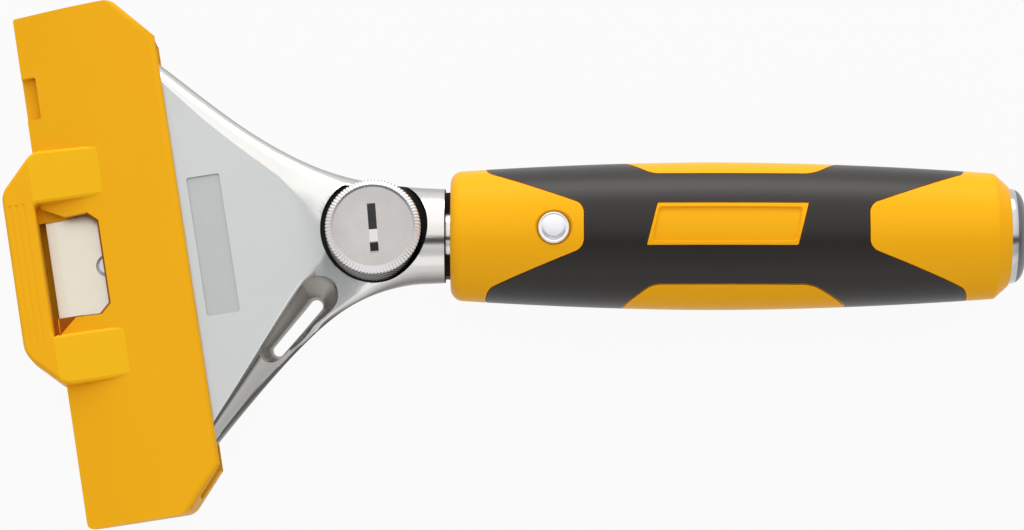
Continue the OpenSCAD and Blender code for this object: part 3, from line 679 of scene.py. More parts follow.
@dataclass
class HeadCasting:
    """Cast head: flat blasted top, buffed flanks, slot, knob recess, collar and tang. Sizes in mm."""

    place: HeadPlace
    neck_x: float = -123.9
    collar_end_x: float = -118.95
    tang_end_x: float = -87.8
    collar_r: float = 9.9
    tang_r: float = 5.15
    lip_back: float = 10.5
    lip_half: float = 49.5
    shoulder_back: float = 18.0
    flat_back: float = 25.5
    flank_angle: float = 43.0
    lip_z: float = 2.3
    flat_z: float = 4.2
    under_z: float = -1.1
    recess_r: float = 11.05
    recess_shift: float = 1.0
    recess_top: float = 10.0
    recess_z: float = 1.9
    screw_hole_r: float = 3.3
    channel_r: float = 8.1
    channel_back: float = 40.0
    upper_flank: Outline = ((0.0, 2.2), (0.2, 5.2), (0.3, 6.5), (0.5, 7.8), (0.56, 8.6), (0.62, 12.0), (0.72, 16.0))
    lower_flank: Outline = ((0.0, 2.4), (0.2, 5.6), (0.35, 8.2), (0.5, 10.7), (0.6, 11.1), (0.72, 16.0))
    upper_lean: Outline = ((0.0, 86.0), (0.1, 62.0), (0.25, 44.0), (0.5, 27.0), (1.0, 9.0))
    front_lean: Outline = (
        (0.0, 86.0), (0.05, 76.0), (0.17, 45.0), (0.2, 30.0), (0.7, 23.0), (0.75, 15.0), (0.97, 13.5), (1.0, 5.0),
    )
    rear_lean: Outline = ((0.0, 86.0), (0.03, 68.0), (0.1, 46.0), (0.2, 30.0), (0.86, 24.0), (0.93, 20.0), (1.0, 4.0))
    lower_edge: float = 0.17
    shares: Sequence[float] = (0.0, 0.015, 0.05, 0.1, 0.17, 0.26, 0.36, 0.48, 0.62, 0.76, 0.86, 0.92, 0.96, 1.0)
    panel: tuple[float, float, float] = (29.9, 6.8, 29.0)
    panel_depth: float = 0.5
    gap_shade_block: tuple[float, float, float] = (1.0, 8.7, 2.2)
    slot_r: float = 1.14
    pocket_tip: float = 0.45
    rim: float = 0.35
    level_cos: float = 0.9986
    edge_lean: float = 35.0
    neck_lean: float = 12.0
    steps: int = 90

    def build(self) -> Object:
        """Builds the casting in the row frame.

        Returns:
            The finished piece.
        """
        body = skin([self._section(*self._station(i)) for i in range(-1, self.steps + 1)])
        knob = Matrix.Translation(self.place.knob)
        rise = Matrix.Translation((0, self.recess_shift, 0))
        recess = rod(Axis.UPRIGHT, self.recess_z, FAR, self.recess_r)
        for vert in recess.verts:
            vert.co.y = min(vert.co.y, self.recess_top - self.recess_shift)
        hole = rod(Axis.UPRIGHT, -FAR, FAR, self.screw_hole_r)
        # The channel's roof lies a hair above the underside, so that no two faces of the cut coincide.
        hair = 0.02
        roof = self.under_z + hair
        channel = rod(Axis.UPRIGHT, -FAR, roof, self.channel_r)
        reach, shift, half = self.place.reach, self.place.shift, self.channel_r
        run = [
            (self.channel_back, -shift - half), (reach, -shift - half), (reach, half - shift),
            (self.channel_back, half - shift),
        ]
        u, width, length = self.panel
        panel = [(u, -length / 2), (u + width, -length / 2), (u + width, length / 2), (u, length / 2)]
        panel_cut = slab(panel, self.flat_z - self.panel_depth, FAR, [0.5] * 4)
        # A block painted dark as shade fills the gap between the collar and the handle on both sides of the tang.
        sunk, (long, wide, tall) = 0.1, self.gap_shade_block
        start = self.collar_end_x - sunk
        end = start + sunk + long
        gap_shade_block = slab([(start, -wide), (end, -wide), (end, wide), (start, wide)], -tall, tall)
        # The collar's end face, in the gap to the handle, is painted dark as shade.
        collar = paint(solid(self._collar(), CAST_ALLOY), CAST_SHADE_ALLOY, lambda face: face.normal.x > 0.3)
        in_head = self.place.matrix()
        made = combine(
            solid(body, CAST_ALLOY, "head"),
            (Cut.JOIN, collar),
            (Cut.JOIN, solid(gap_shade_block, CAST_SHADE_ALLOY)),
            # The knob's recess and screw hole are painted dark as shade.
            (Cut.TAKE, solid(recess, CAST_SHADE_ALLOY, place=knob @ rise)),
            (Cut.TAKE, solid(hole, CAST_SHADE_ALLOY, place=knob)),
            (Cut.TAKE, solid(channel, CAST_ALLOY, place=knob)),
            (Cut.TAKE, solid(slab(run, -FAR - 1, roof + hair), CAST_ALLOY, place=in_head)),
            (Cut.TAKE, solid(self._pocket(), POCKET_ALLOY)),
            (Cut.TAKE, solid(panel_cut, BLASTED_ALLOY, place=in_head)),
        )
        self._break_rims(made)
        return self._mark_tilt(settle(made, "dressed_head_casting", "head", "cast_alloy", "head_casting", sharp=24))

    def _break_rims(self, made: Object) -> None:
        """Breaks the rims of all cuts but the pocket, so that they catch the light."""
        outer, dish = (made.data.materials.find(finish.name) for finish in (CAST_ALLOY, POCKET_ALLOY))
        with editing(made) as bm:
            bmesh.ops.remove_doubles(bm, verts=bm.verts[:], dist=10 * MERGE)
            rims = []
            for edge in bm.edges:
                sides = {face.material_index for face in edge.link_faces}
                is_rim = len(edge.link_faces) == 2 and len(sides) == 2 and outer in sides and dish not in sides
                if is_rim and edge.is_convex:
                    rims.append(edge)
            for face in soften(bm, rims, self.rim, 2):
                face.material_index = outer

    def _mark_tilt(self, made: Object) -> Object:
        """Writes how far each face corner leans from the level.

        All of the neck counts as a slope, the patch between slot and knob as blasted, and the lower outer edge as
        steeper than it is, so that the painted shade of its dark skin runs wider.

        Args:
            made: the finished casting.

        Returns:
            The same piece, with its tilt attribute.
        """
        mesh = made.data
        tilt = mesh.attributes.new(TILT, "FLOAT", "CORNER")
        for face in mesh.polygons:
            level = abs(face.normal.z) > self.level_cos
            for i in face.loop_indices:
                x, y, _ = mesh.vertices[mesh.loops[i].vertex_index].co / MM
                up = face.normal.z if level else mesh.corner_normals[i].vector.z
                lean = math.degrees(math.acos(min(1.0, abs(up))))
                if y < 0 and lean < self.edge_lean:
                    lean *= 1 - smooth((x - self.neck_x + 23) / 3) * smooth((self.neck_x - 6 - x) / 6)
                # The lower outer edge counts as steeper than it is, which widens its painted shade.
                elif y < 0:
                    outer = smooth((lean - self.edge_lean) / 8) * smooth((self.neck_x - 12 - x) / 12)
                    lean = min(90.0, lean + 30 * outer)
                tilt.data[i].value = max(lean, self.neck_lean * smooth((x - self.neck_x + 16) / 10)) / 90
        return made

    def _flanks(self) -> tuple[list[Vector], list[Vector]]:
        """Curves of the upper and lower outline, from the shoulder to the neck."""
        skew = math.degrees(self.place.skew)
        curves = []
        for side, pulls in ((1, (0.4, 0.42)), (-1, (0.645, 0.24))):
            start = self.place.flat(self.shoulder_back, side * self.lip_half)
            end = Vector((self.neck_x, side * self.collar_r))
            run = (end - start).length
            first = start + pulls[0] * run * heading(skew - side * self.flank_angle)
            second = end + pulls[1] * run * heading(side * 176)
            curves.append([start, first, second, end])
        return curves[0], curves[1]

    def _station(self, i: int) -> tuple[Vector, Vector, float]:
        """Upper and lower side of the outline at a step, and its share of the run."""
        if i < 0:
            half = self.lip_half
            return self.place.flat(self.lip_back, half), self.place.flat(self.lip_back, -half), 0.0
        upper, lower = self._flanks()
        t = i / self.steps
        return bezier(upper, t), bezier(lower, t), t

    def _section(self, upper: Vector, lower: Vector, t: float) -> list[Vector]:
        """One ring round the casting: flat top, round flanks and flat underside, all turning into the round neck.

        Args:
            upper: upper side of the outline.
            lower: lower side.
            t: share of the run from shoulder to neck.

        Returns:
            The ring's points.
        """
        mid, half = (upper + lower) / 2, (upper - lower).length / 2
        side = (upper - lower) / (2 * half)
        neck = smooth((mid.x - self.neck_x + 25) / 25)
        low, most = mix(self.under_z, -self.collar_r, neck), 0.99 * half
        wide_up = min(most, mix(through(self.upper_flank, t), self.collar_r, neck))
        wide_low = min(most, mix(through(self.lower_flank, t), self.collar_r, neck))
        top_up, top_low = self._top(upper - side * wide_up, neck), self._top(lower + side * wide_low, neck)
        bulge_up, bulge_low = (mix(low, top, mix(0.2, 0.5, neck)) for top in (top_up, top_low))
        under = mix(0.5, 0.99 * self.collar_r, neck)
        quarter = [math.radians(9 * i) for i in range(1, 11)]
        up = self._flank(self.upper_lean, wide_up, bulge_up, top_up, neck, 1.0)
        ahead = self._flank(self.front_lean, wide_low, bulge_low, top_low, neck, self.lower_edge)
        behind = self._flank(self.rear_lean, wide_low, bulge_low, top_low, neck, 1.0)
        rear = smooth((t - 0.42) / 0.14)
        down = [(s, mix(a, b, rear)) for (s, a), (_, b) in zip(ahead, behind)]
        ring = [(half - s, z) for s, z in up] + [(s - half, z) for s, z in reversed(down)]
        ring += [(under * (1 - math.cos(a)) - half, mix(bulge_low, low, math.sin(a))) for a in quarter]
        ring += [(half - under * (1 - math.cos(a)), mix(bulge_up, low, math.sin(a))) for a in quarter[::-1]]
        return [(mid + side * s).to_3d() + Vector((0, 0, z)) for s, z in ring]

    def _top(self, spot: Vector, neck: float) -> float:
        """Height of the top at a place: it rises from the lip to the flat, then into the neck."""
        back = (spot - self.place.flat(0, 0)).dot(heading(math.degrees(self.place.skew)))
        slope = min(1.0, (back - self.lip_back) / (self.flat_back - self.lip_back))
        return mix(mix(self.lip_z, self.flat_z, slope), self.collar_r, neck)

    def _flank(
        self, leans: Outline, width: float, low: float, top: float, neck: float, edge: float
    ) -> list[tuple[float, float]]:
        """Profile of a flank from its outer edge in to its crease.

        Args:
            leans: its lean in degrees at shares of its width.
            width: its width.
            low: height of its outer edge.
            top: height of its crease.
            neck: how far it has turned into a quarter circle.
            edge: share of the width, from the outer edge, that takes up what the leans leave of the height.

        Returns:
            Its points as (distance in, height).
        """
        rise = [0.0]
        for a, b in zip(self.shares, self.shares[1:]):
            rise.append(rise[-1] + width * (b - a) * math.tan(math.radians(through(leans, (a + b) / 2))))
        outer = rise[self.shares.index(edge)]
        inner = rise[-1] - outer
        scale = max(0.1, (top - low - inner) / outer)
        points = []
        for share, height in zip(self.shares, rise):
            level = (scale * min(height, outer) + max(0.0, height - outer)) / (scale * outer + inner)
            level = mix(level, math.sqrt(1 - (1 - share) ** 2), neck)
            points.append((width * share, mix(low, top, level)))
        return points

    def _collar(self) -> BMesh:
        """Collar and tang as one turned solid."""
        start, end, r = self.neck_x, self.collar_end_x, self.collar_r
        outline = [
            (start - 0.3, 0), (start - 0.3, r + 0.02), (end, r - 0.2), (end, self.tang_r),
            (self.tang_end_x, self.tang_r), (self.tang_end_x, 0),
        ]
        return lathe(outline, Axis.HANDLE, (0, 0.2, 0.3, 0, 0.4, 0))

    def _pocket(self) -> BMesh:
        """Dished pocket that opens down into the slot, as a cutter."""
        # Height, growth of the front and rear ends' radii, and how far the ends spread.
        levels = (
            (3.6, 1.4, 3.6, 1.6), (1.9, 0.95, 2.9, 1.3), (1.2, 0.75, 2.2, 1.0), (0.5, 0.45, 1.2, 0.6),
            (-0.3, 0.2, 0.4, 0.2), (-1.4, 0.0, 0.05, 0.0), (-6.0, 0.0, 0.0, 0.0),
        )
        _, lower = self._flanks()
        ends = []
        for t, inset in ((0.37, 2.9), (0.55, 4.2)):
            run = bezier(lower, t + 0.01) - bezier(lower, t - 0.01)
            ends.append(bezier(lower, t) + inset * Vector((-run.y, run.x)).normalized())
        front, rear = ends
        way = math.degrees(math.atan2(*(rear - front).yx))
        rings = []
        for z, small, large, more in levels:
            inward = 0.45 * more * heading(way + 90)
            first, last = front + inward - 1.05 * more * heading(way), rear + inward + more * heading(way)
            lean = math.degrees(math.asin((large - small) / (last - first).length))
            rear_arc = [mix(-90 - lean, 90 + lean, i / 16) for i in range(17)]
            front_arc = [mix(90 + lean, 270 - lean, i / 16) for i in range(17)]
            ring = [last + (self.slot_r + large) * heading(way + a) for a in rear_arc]
            ring += [first + (self.slot_r + small) * heading(way + a) for a in front_arc]
            tip = self.pocket_tip if z > -1 else 0.0
            rises = [tip * max(0.0, (p - front).dot(heading(way + 90))) for p in ring]
            rings.append([p.to_3d() + Vector((0, 0, z + rise)) for p, rise in zip(ring, rises)])
        return skin(rings)


@dataclass
class Blade:
    """Strip blade with a ground bevel on both edges and a locating hole. Sizes in mm."""

    place: HeadPlace
    front_u: float = -0.35
    back_u: float = 22.0
    half: float = 50.0
    top_z: float = -1.1
    thick: float = 0.8
    bevel: float = 2.0
    edge: float = 0.3
    hole_u: float = 11.0
    hole_r: float = 2.35

    def build(self) -> Object:
        """Builds the blade under the casting's lip.

        Returns:
            The finished piece.
        """
        front, back, top, low = self.front_u, self.back_u, self.top_z, self.top_z - self.thick
        mid = (top + low) / 2
        outline = [
            (front, mid - self.edge), (front + self.bevel, low), (back - self.bevel, low), (back, mid - self.edge),
            (back, mid + self.edge), (back - self.bevel, top), (front + self.bevel, top), (front, mid + self.edge),
        ]
        made = solid(along_blade(outline, self.half), BLADE_STEEL, "blade")
        paint(made, BLADE_BEVEL, lambda face: 0.3 < abs(face.normal.z) < 0.999)
        hole = rod(Axis.UPRIGHT, -FAR, FAR, self.hole_r, steps=48)
        combine(made, (Cut.TAKE, solid(hole, BLADE_STEEL, place=Matrix.Translation((self.hole_u, 0, 0)))))
        made.data.transform(self.place.matrix())
        return settle(made, "dressed_blade", "clamp", "blade_steel", "blade", sharp=10)


@dataclass
class BladeCover:
    """Slide-on cover: wedge-shaped shell with a bumper frame, a window and a notch. Sizes in mm."""

    place: HeadPlace
    nose_u: float = -0.7
    crease_u: float = 12.7
    mouth_u: float = 27.9
    jaw_u: float = 27.8
    half: float = 53.9
    end_draft: float = 1.1
    blade_z: float = -1.5
    nose_h: float = 3.1
    crease_h: float = 6.5
    mouth_h: float = 7.7
    wall: float = 1.7
    nose_wall: float = 0.25
    hollow_half: float = 45.3
    shallow_half: float = 50.6
    shallow_top: float = 3.45
    drop_z: float = -3.4
    corner: tuple[float, float] = (7.8, 9.0)
    nose_round: tuple[float, float] = (0.5, 1.2)
    crease_round: float = 5.5
    mouth_round: float = 1.5
    edge_round: float = 0.8
    bar_u: float = -8.0
    bar_back_u: float = -1.65
    arm_z: float = 4.72
    arm_round: float = 0.9
    bumper_half: float = 24.1
    bumper_front: float = 16.5
    bar_rise: float = 0.8
    arm_gap: float = 13.7
    arm_lean: tuple[float, float, float, float] = (0.25, 0.3, 0.5, 0.9)
    sill_z: float = -4.2
    window_back: float = 10.4
    window_half: float = 10.15
    window_rise: float = 0.65
    window_lean: float = 0.28
    window_z: float = 2.7
    window_corner: float = 2.0
    shade_u: float = 4.2
    shade_z: float = -0.55
    shade_in: float = 0.65
    ledge_t: float = 0.45
    slit: tuple[float, float] = (-0.5, -0.1)
    groove_u: Sequence[float] = (-6.6, -5.2, -3.8)
    groove_w: float = 1.0
    groove_d: float = 0.2
    notch: tuple[float, float] = (31.9, 40.8)
    notch_w: float = 2.9
    notch_z: float = 0.15

    def build(self) -> Object:
        """Builds the cover and sets it over the blade.

        Returns:
            The finished piece.
        """
        tool = COVER_PLASTIC
        u, back, w, c, gap = self.bar_back_u, self.window_back, self.window_half, self.window_corner, self.arm_gap
        top = w + self.window_rise
        window = [(u, -w), (back - c, -w), (back, c - w), (back, top - c), (back - c, top), (u, top)]
        sill = [(u - 0.1, -gap - 0.7), (self.nose_u + 0.1, -gap - 0.7)]
        sill += [(x, -y) for x, y in reversed(sill)]
        low, high = self.notch
        notch = [(self.nose_u - 1, low), (self.nose_u + self.notch_w, low)]
        notch += [(self.nose_u + self.notch_w, high), (self.nose_u - 1, high)]
        shelf = [(max(x, self.nose_u + 0.1) + 0.3 * (x > 0), y) for x, y in notch]
        floor = self.blade_z - self.nose_h
        cuts = [
            solid(self._hollow(self.hollow_half, None, None), tool),
            solid(self._hollow(self.shallow_half, self.drop_z, self.shallow_top), tool),
            self._window(window),
            solid(slab(notch, self.notch_z, FAR, (0, 0.5, 0.5, 0)), tool),
        ]
        ledges = [solid(slab(shelf, self.notch_z - 0.5, self.notch_z), tool)]
        # The lower ledge is painted dark as shade; the upper one keeps the cover's finish.
        for side, end, finish in ((-1, w - self.shade_in, PAINTED_SHADE_PLASTIC), (1, top, tool)):
            inner, outer, past = side * (end - 0.1), side * gap, side * (gap + 0.3)
            shade = [(u, inner), (self.shade_u, inner), (u + 0.5, outer), (u, outer)]
            cuts.append(solid(slab(shade, self.shade_z, FAR), tool))
            ledge = [(u, inner), (self.shade_u + 0.4, inner), (u + 0.9, past), (u, past)]
            ledges.append(solid(slab(ledge, self.shade_z - self.ledge_t, self.shade_z), finish))
        near, far = self.slit
        cuts.append(solid(slab([(near, -gap), (far, -gap), (far, -top), (near, -top)], self.blade_z, FAR), tool))
        for spot in self.groove_u:
            vee = [(spot - self.groove_w / 2, self.arm_z + 0.01), (spot, self.arm_z - self.groove_d)]
            vee += [(spot + self.groove_w / 2, self.arm_z + 0.01), (spot, self.arm_z + 1)]
            cuts.append(solid(along_blade(vee, self.bumper_front - 2), tool))
        # The arms' top faces take the smoother finish with its painted highlight.
        bumper = paint(solid(self._bumper(), tool), SMOOTH_LIT_PLASTIC, lambda f: f.center.x > u and f.normal.z > 0.3)
        made = combine(
            solid(self._shell(), tool, "cover"),
            (Cut.JOIN, bumper),
            (Cut.JOIN, solid(slab(sill, floor, self.sill_z), tool)),
            *((Cut.TAKE, cut) for cut in cuts),
            *((Cut.JOIN, ledge) for ledge in ledges),
        )
        made.data.transform(self.place.matrix())
        return settle(made, "dressed_blade_cover", "cover", "cover_plastic", "blade_cover", sharp=35)

    def _window(self, outline: Outline) -> Object:
        """Cutter of the window, whose rear and lower walls lean back so that their faces show, painted dark as shade.

        Args:
            outline: the window as seen at the blade.

        Returns:
            The cutter.
        """
        bm = slab(outline, self.sill_z, FAR)
        for vert in bm.verts:
            lean = self.window_lean * (vert.co.z - self.window_z)
            if vert.co.y < 0:
                vert.co.y -= lean
            if vert.co.x > self.bar_back_u + 0.1:
                vert.co.x += lean
        # The rear and lower walls get the painted shade finish.
        return paint(solid(bm, COVER_PLASTIC), PAINTED_SHADE_PLASTIC, lambda f: f.normal.x > 0.3 or f.normal.y < -0.3)

    def _shell(self) -> BMesh:
        """Outside of the shell, with its ends drafted, its mouth corners cut and its edges rounded."""
        z = self.blade_z
        lower = [
            (self.nose_u, z - self.nose_h), (self.crease_u, z - self.crease_h), (self.jaw_u, z - self.mouth_h),
            (self.jaw_u, z),
        ]
        upper = [
            (self.mouth_u, z), (self.mouth_u, z + self.mouth_h), (self.crease_u, z + self.crease_h),
            (self.nose_u, z + self.nose_h),
        ]
        bm = along_blade(lower + upper, self.half)
        for vert in bm.verts:
            depth = (z + self.mouth_h - vert.co.z) / (2 * self.mouth_h)
            vert.co.y -= math.copysign(self.end_draft * depth, vert.co.y)
        deep, long = self.corner
        for side in (-1, 1):
            spot = Vector((self.mouth_u - deep, side * self.half, 0))
            out = Vector((long, side * deep, 0)).normalized()
            everything = bm.verts[:] + bm.edges[:] + bm.faces[:]
            cut = bmesh.ops.bisect_plane(bm, geom=everything, plane_co=spot, plane_no=out, clear_outer=True)
            rim = [g for g in cut["geom_cut"] if isinstance(g, BMEdge)]
            bmesh.ops.holes_fill(bm, edges=rim, sides=0)
        bmesh.ops.recalc_face_normals(bm, faces=bm.faces[:])
        creases = [e for e in bm.edges if all(abs(v.co.x - self.crease_u) < 1e-3 for v in e.verts)]
        soften(bm, [e for e in creases if is_level(e)], self.crease_round, 10)
        for side, width in zip((1, -1), self.nose_round):
            ends = [e for e in bm.edges if all(abs(v.co.x - self.nose_u) < 1e-3 and side * v.co.y > 0 for v in e.verts)]
            soften(bm, [e for e in ends if not is_level(e)], width, 5)
        mouths = [
            e for e in sharp_edges(bm)
            if all(v.co.x > self.mouth_u - deep - 0.1 and abs(v.co.z - z) > self.crease_h for v in e.verts)
        ]
        soften(bm, mouths, self.mouth_round, 6)
        soften(bm, [e for e in sharp_edges(bm, 50) if e.calc_length() > 1.0], self.edge_round, 4)
        return bm

    def _bumper(self) -> BMesh:
        """Bar and arms of the bumper frame."""
        end, g = self.crease_u + 3.5, self.arm_gap
        low, lower, upper, high = self.arm_lean
        outline = [
            (end, -self.bumper_half), (end, -g), (self.bar_back_u, lower - g), (self.bar_back_u, g + upper), (end, g),
            (end, self.bumper_half), (self.nose_u, self.bumper_half + high),
            (self.bar_u, self.bumper_front + self.bar_rise), (self.bar_u, -self.bumper_front),
            (self.nose_u, low - self.bumper_half),
        ]
        bm = slab(outline, self.blade_z - self.nose_h, self.arm_z, (0, 0, 0.8, 0.8, 0, 0, 1.5, 1.6, 2.2, 1.5))
        flat = [e for e in sharp_edges(bm, 50) if is_level(e)]
        soften(bm, flat, self.arm_round, 4)
        everything = bm.verts[:] + bm.edges[:] + bm.faces[:]
        bmesh.ops.bisect_plane(bm, geom=everything, plane_co=(self.bar_back_u, 0, 0), plane_no=(1, 0, 0))
        return bm

    def _hollow(self, half: float, low: float | None, top: float | None) -> BMesh:
        """Inside of the cover, open at the mouth.

        Args:
            half: half its length along the blade.
            low: its depth, or None for the depth of the lower wall.
            top: its height at most, or None for the height of the upper wall.

        Returns:
            The cutter.
        """
        z, inner, out = self.blade_z, self.nose_u + self.nose_wall, self.jaw_u + 1
        high = FAR if top is None else top
        crease_low = z - self.crease_h + self.wall if low is None else low
        mouth_low = z - self.mouth_h + self.wall if low is None else low
        crease_top = min(high, z + self.crease_h - self.wall)
        mouth_top = min(high, z + self.mouth_h - self.wall)
        outline = [
            (inner, self.drop_z), (self.crease_u, crease_low), (self.mouth_u, mouth_low), (out, mouth_low),
            (out, mouth_top), (self.mouth_u, mouth_top), (self.crease_u, crease_top),
            (inner, z + self.nose_h - self.wall),
        ]
        return along_blade(outline, half)


@dataclass
class ClampKnob:
    """Knurled knob with a coin slot. Sizes in mm."""

    place: HeadPlace
    radius: float = 9.75
    low_z: float = 2.5
    top_z: float = 13.2
    teeth: int = 84
    rows: int = 7
    tooth: float = 0.4
    rim: tuple[float, float] = (1.05, 0.8)
    dish: tuple[float, float] = (0.5, 0.15)
    coin: Outline = ((4.8, 1.0), (4.8, -0.9), (-0.3, -2.0), (-3.0, -1.0), (-3.1, -1.8), (-5.5, -2.4), (-5.5, 1.0))
    coin_w: float = 1.7
    coin_turn: float = 94.6

    def build(self) -> Object:
        """Builds the knob with its coin slot.

        Returns:
            The finished piece.
        """
        r, low, top, (wide, deep) = self.radius, self.low_z, self.top_z, self.rim
        levels = [(low, r - 0.8, 0.0), (low + 0.5, r - 0.35, 0.0)]
        start, end = low + 0.8, top - deep - 0.35
        levels += [(mix(start, end, i / self.rows), r, self.tooth) for i in range(self.rows + 1)]
        levels += [(top - deep, r - 0.05, 0.32), (top, r - 0.1 - wide, 0.0)]
        levels.append((top - self.dish[1], r - 0.1 - wide - self.dish[0], 0.0))
        knob = skin([self._ring(i, *level) for i, level in enumerate(levels)])
        # Turned steel: pale grey top with fine rings.
        turned = Finish(
            "turned steel, knob", "#D0CDCA", "#ACA9A8", 0.3, Grain.TURN, 0.28, 0.003, metallic=1.0,
            centre_mm=tuple(self.place.knob), drift_mm=9.0,
        )
        # Knurled steel: grooves painted near black as shade, and a painted glint on the tip of every tooth.
        knurled = KnurlGlintFinish(
            "knurled steel, painted shade and glints", "#1D1C1B", "#171615", 0.35, Grain.BLAST, 0.4, 0.004, metallic=1.0,
            centre_mm=tuple(self.place.knob),
        )
        spot = Matrix.Translation(self.place.knob)
        made = solid(knob, turned, "knob", spot)
        paint(made, knurled, lambda face: start - 0.1 < face.center.z < end + 0.1)
        paint(made, SATIN_STEEL, lambda face: top - deep < face.center.z < top and face.normal.z < 0.9)
        coin = slab(self.coin, -self.coin_w / 2, self.coin_w / 2)
        stand = Matrix.Rotation(math.radians(self.coin_turn), 4, "Z") @ Matrix.Rotation(math.pi / 2, 4, "X")
        combine(made, (Cut.TAKE, solid(coin, MILLED_STEEL, place=spot @ Matrix.Translation((0, 0, top)) @ stand)))
        return settle(made, "dressed_clamp_knob", "knob", "knob_steel", "clamp_knob", sharp=14)

    def _ring(self, row: int, z: float, radius: float, tooth: float) -> list[Vector]:
        """Ring of the knob, with every second point drawn in by the tooth's depth, in turn from row to row."""
        count = 2 * self.teeth
        ring = []
        for i in range(count):
            flat = (radius - tooth * ((i + row) % 2)) * heading(360 * i / count)
            ring.append(flat.to_3d() + Vector((0, 0, z)))
        return ring


@dataclass
class Handle:
    """Barrel handle: hard yellow core and pads with a soft grip between them, cross pin and strike cap. Sizes in mm."""

    front_x: float = -117.95
    butt_x: float = -3.4
    belly_x: float = -63.8
    radius: float = 15.2
    front_drop: float = 2.0
    rear_drop: float = 2.5
    front_round: float = 2.6
    butt_bevel: float = 3.0
    butt_r: float = 10.2
    grip_t: float = 2.2
    groove: float = 0.18
    tongue_root: float = 12.2
    tongue_tip: float = 4.6
    front_tongue: tuple[float, float] = (7.3, 27.3)
    rear_tongue: tuple[float, float] = (8.95, 29.5)
    side_span: tuple[float, float] = (13.0, 20.0)
    side_y: float = 11.3
    side_reach: float = 6.6
    lower_side: tuple[float, float] = (-0.5, 8.4)
    tang_r: float = 5.15
    pin_x: float = -96.9
    pin_y: float = -0.4
    pin_r: float = 3.3
    pin_proud: float = 0.35
    cap_r: float = 9.8
    cap_back_x: float = -6.8
    label: tuple[float, float, float] = (31.0, 9.0, 2.3)
    label_shift: float = 2.2
    label_rise: float = 0.3
    label_rim: float = 1.0
    label_depth: float = 0.55
    label_slope: float = 0.45

    def build(self) -> list[Object]:
        """Builds core, grip, pin and cap.

        Returns:
            The finished pieces.
        """
        return [self._core(), self._grip(), self._pin(), self._cap()]

    def _radius_at(self, x: float) -> float:
        """Radius of the barrel at x."""
        if x < self.belly_x:
            return self.radius - self.front_drop * ((self.belly_x - x) / (self.belly_x - self.front_x)) ** 1.8
        return self.radius - self.rear_drop * ((x - self.belly_x) / (self.butt_x - self.belly_x)) ** 1.8

    def _pin_place(self) -> Matrix:
        """Move to the cross pin."""
        return Matrix.Translation((self.pin_x, self.pin_y, 0))

    def _barrel(self, depth: float) -> BMesh:
        """The barrel, drawn in by a depth."""
        start, end = self.front_x + self.front_round, self.butt_x - self.butt_bevel
        outline = [(self.front_x + depth, 0.0)]
        for i in range(8):
            a = math.radians(90 * i / 8)
            r = self._radius_at(start) - depth - self.front_round * (1 - math.sin(a))
            outline.append((start + depth - self.front_round * math.cos(a), r))
        for i in range(49):
            x = mix(start + depth, end - depth, i / 48)
            outline.append((x, self._radius_at(x) - depth))
        outline += [(self.butt_x - depth, self.butt_r - depth), (self.butt_x - depth, 0.0)]
        cuts = [0.0] * (len(outline) - 3) + [0.3, 0.35, 0.0]
        return lathe(outline, Axis.HANDLE, cuts, 144)

    def _tongue(self, end: float, way: int, band: float, length: float) -> Outline:
        """Outline of a tongue that narrows from a band round the barrel's end."""
        out = self.radius + 1
        half = [(-1, out), (band, out), (band, self.tongue_root), (length, self.tongue_tip)]
        return [(end + way * x, y) for x, y in half] + [(end + way * x, -y) for x, y in reversed(half)]

    def _label(self, rim: float) -> Outline:
        """Outline of the label pad, or of its panel inside a rim."""
        length, height, lean = self.label
        x, half, tall = self.belly_x + self.label_shift, length / 2 - rim, height / 2 - rim
        lean = lean / 2 * (1 - 2 * rim / height)
        low, high = self.label_rise - tall, self.label_rise + tall
        return [(x - half - lean, low), (x + half - lean, low), (x + half + lean, high), (x - half + lean, high)]

    def _label_cut(self) -> BMesh:
        """Cutter of the label's sunk panel, wider at its top so that the walls slope."""
        low, rest, high = 12.0, 14.4, 17.0
        length, height, _ = self.label
        bm = slab(self._label(self.label_rim + self.label_slope * (rest - low)), low, high, (0.5,) * 4)
        grow = 2 * self.label_slope * (high - low)
        middle = Matrix.Translation((-self.belly_x - self.label_shift, -self.label_rise, 0))
        inner = 2 * self.label_rim + 2 * self.label_slope * (rest - low)
        wider = (1 + grow / (length - inner), 1 + grow / (height - inner), 1)
        bmesh.ops.scale(bm, vec=wider, space=middle, verts=[v for v in bm.verts if v.co.z > rest])
        return bm

    def _pads(self, inset: float) -> list[Object]:
        """Prisms of every pad, each drawn in so that a groove is left round it."""
        over = Matrix.Rotation(math.pi, 4, "X")
        made = []
        front = self._tongue(self.front_x, 1, *self.front_tongue)
        rear = self._tongue(self.butt_x, -1, *self.rear_tongue)
        for outline in (front, rear):
            cuts = (0, 0, 1.6, 1.8, 1.8, 1.6, 0, 0)
            made.append(solid(slab(outline, -FAR, FAR, cuts, inset), HANDLE_PLASTIC))
        a, b = self.belly_x - self.side_span[0], self.belly_x + self.side_span[1]
        high, out = self.side_y, self.radius + 1
        slant = (out - high) / (self.radius - high)
        for turn, shift, reach in ((Matrix.Identity(4), 0.0, self.side_reach), (over, *self.lower_side)):
            end = b + shift
            side = [(a, high), (end, high), (end + reach * slant, out), (a - self.side_reach * slant, out)]
            made.append(solid(slab(side, -FAR, FAR, (1.4, 1.8, 0, 0), inset), HANDLE_PLASTIC, place=turn))
            pad = slab(self._label(0), 3, FAR, (0.4,) * 4, inset)
            made.append(solid(pad, HANDLE_PLASTIC, place=turn))
        return made

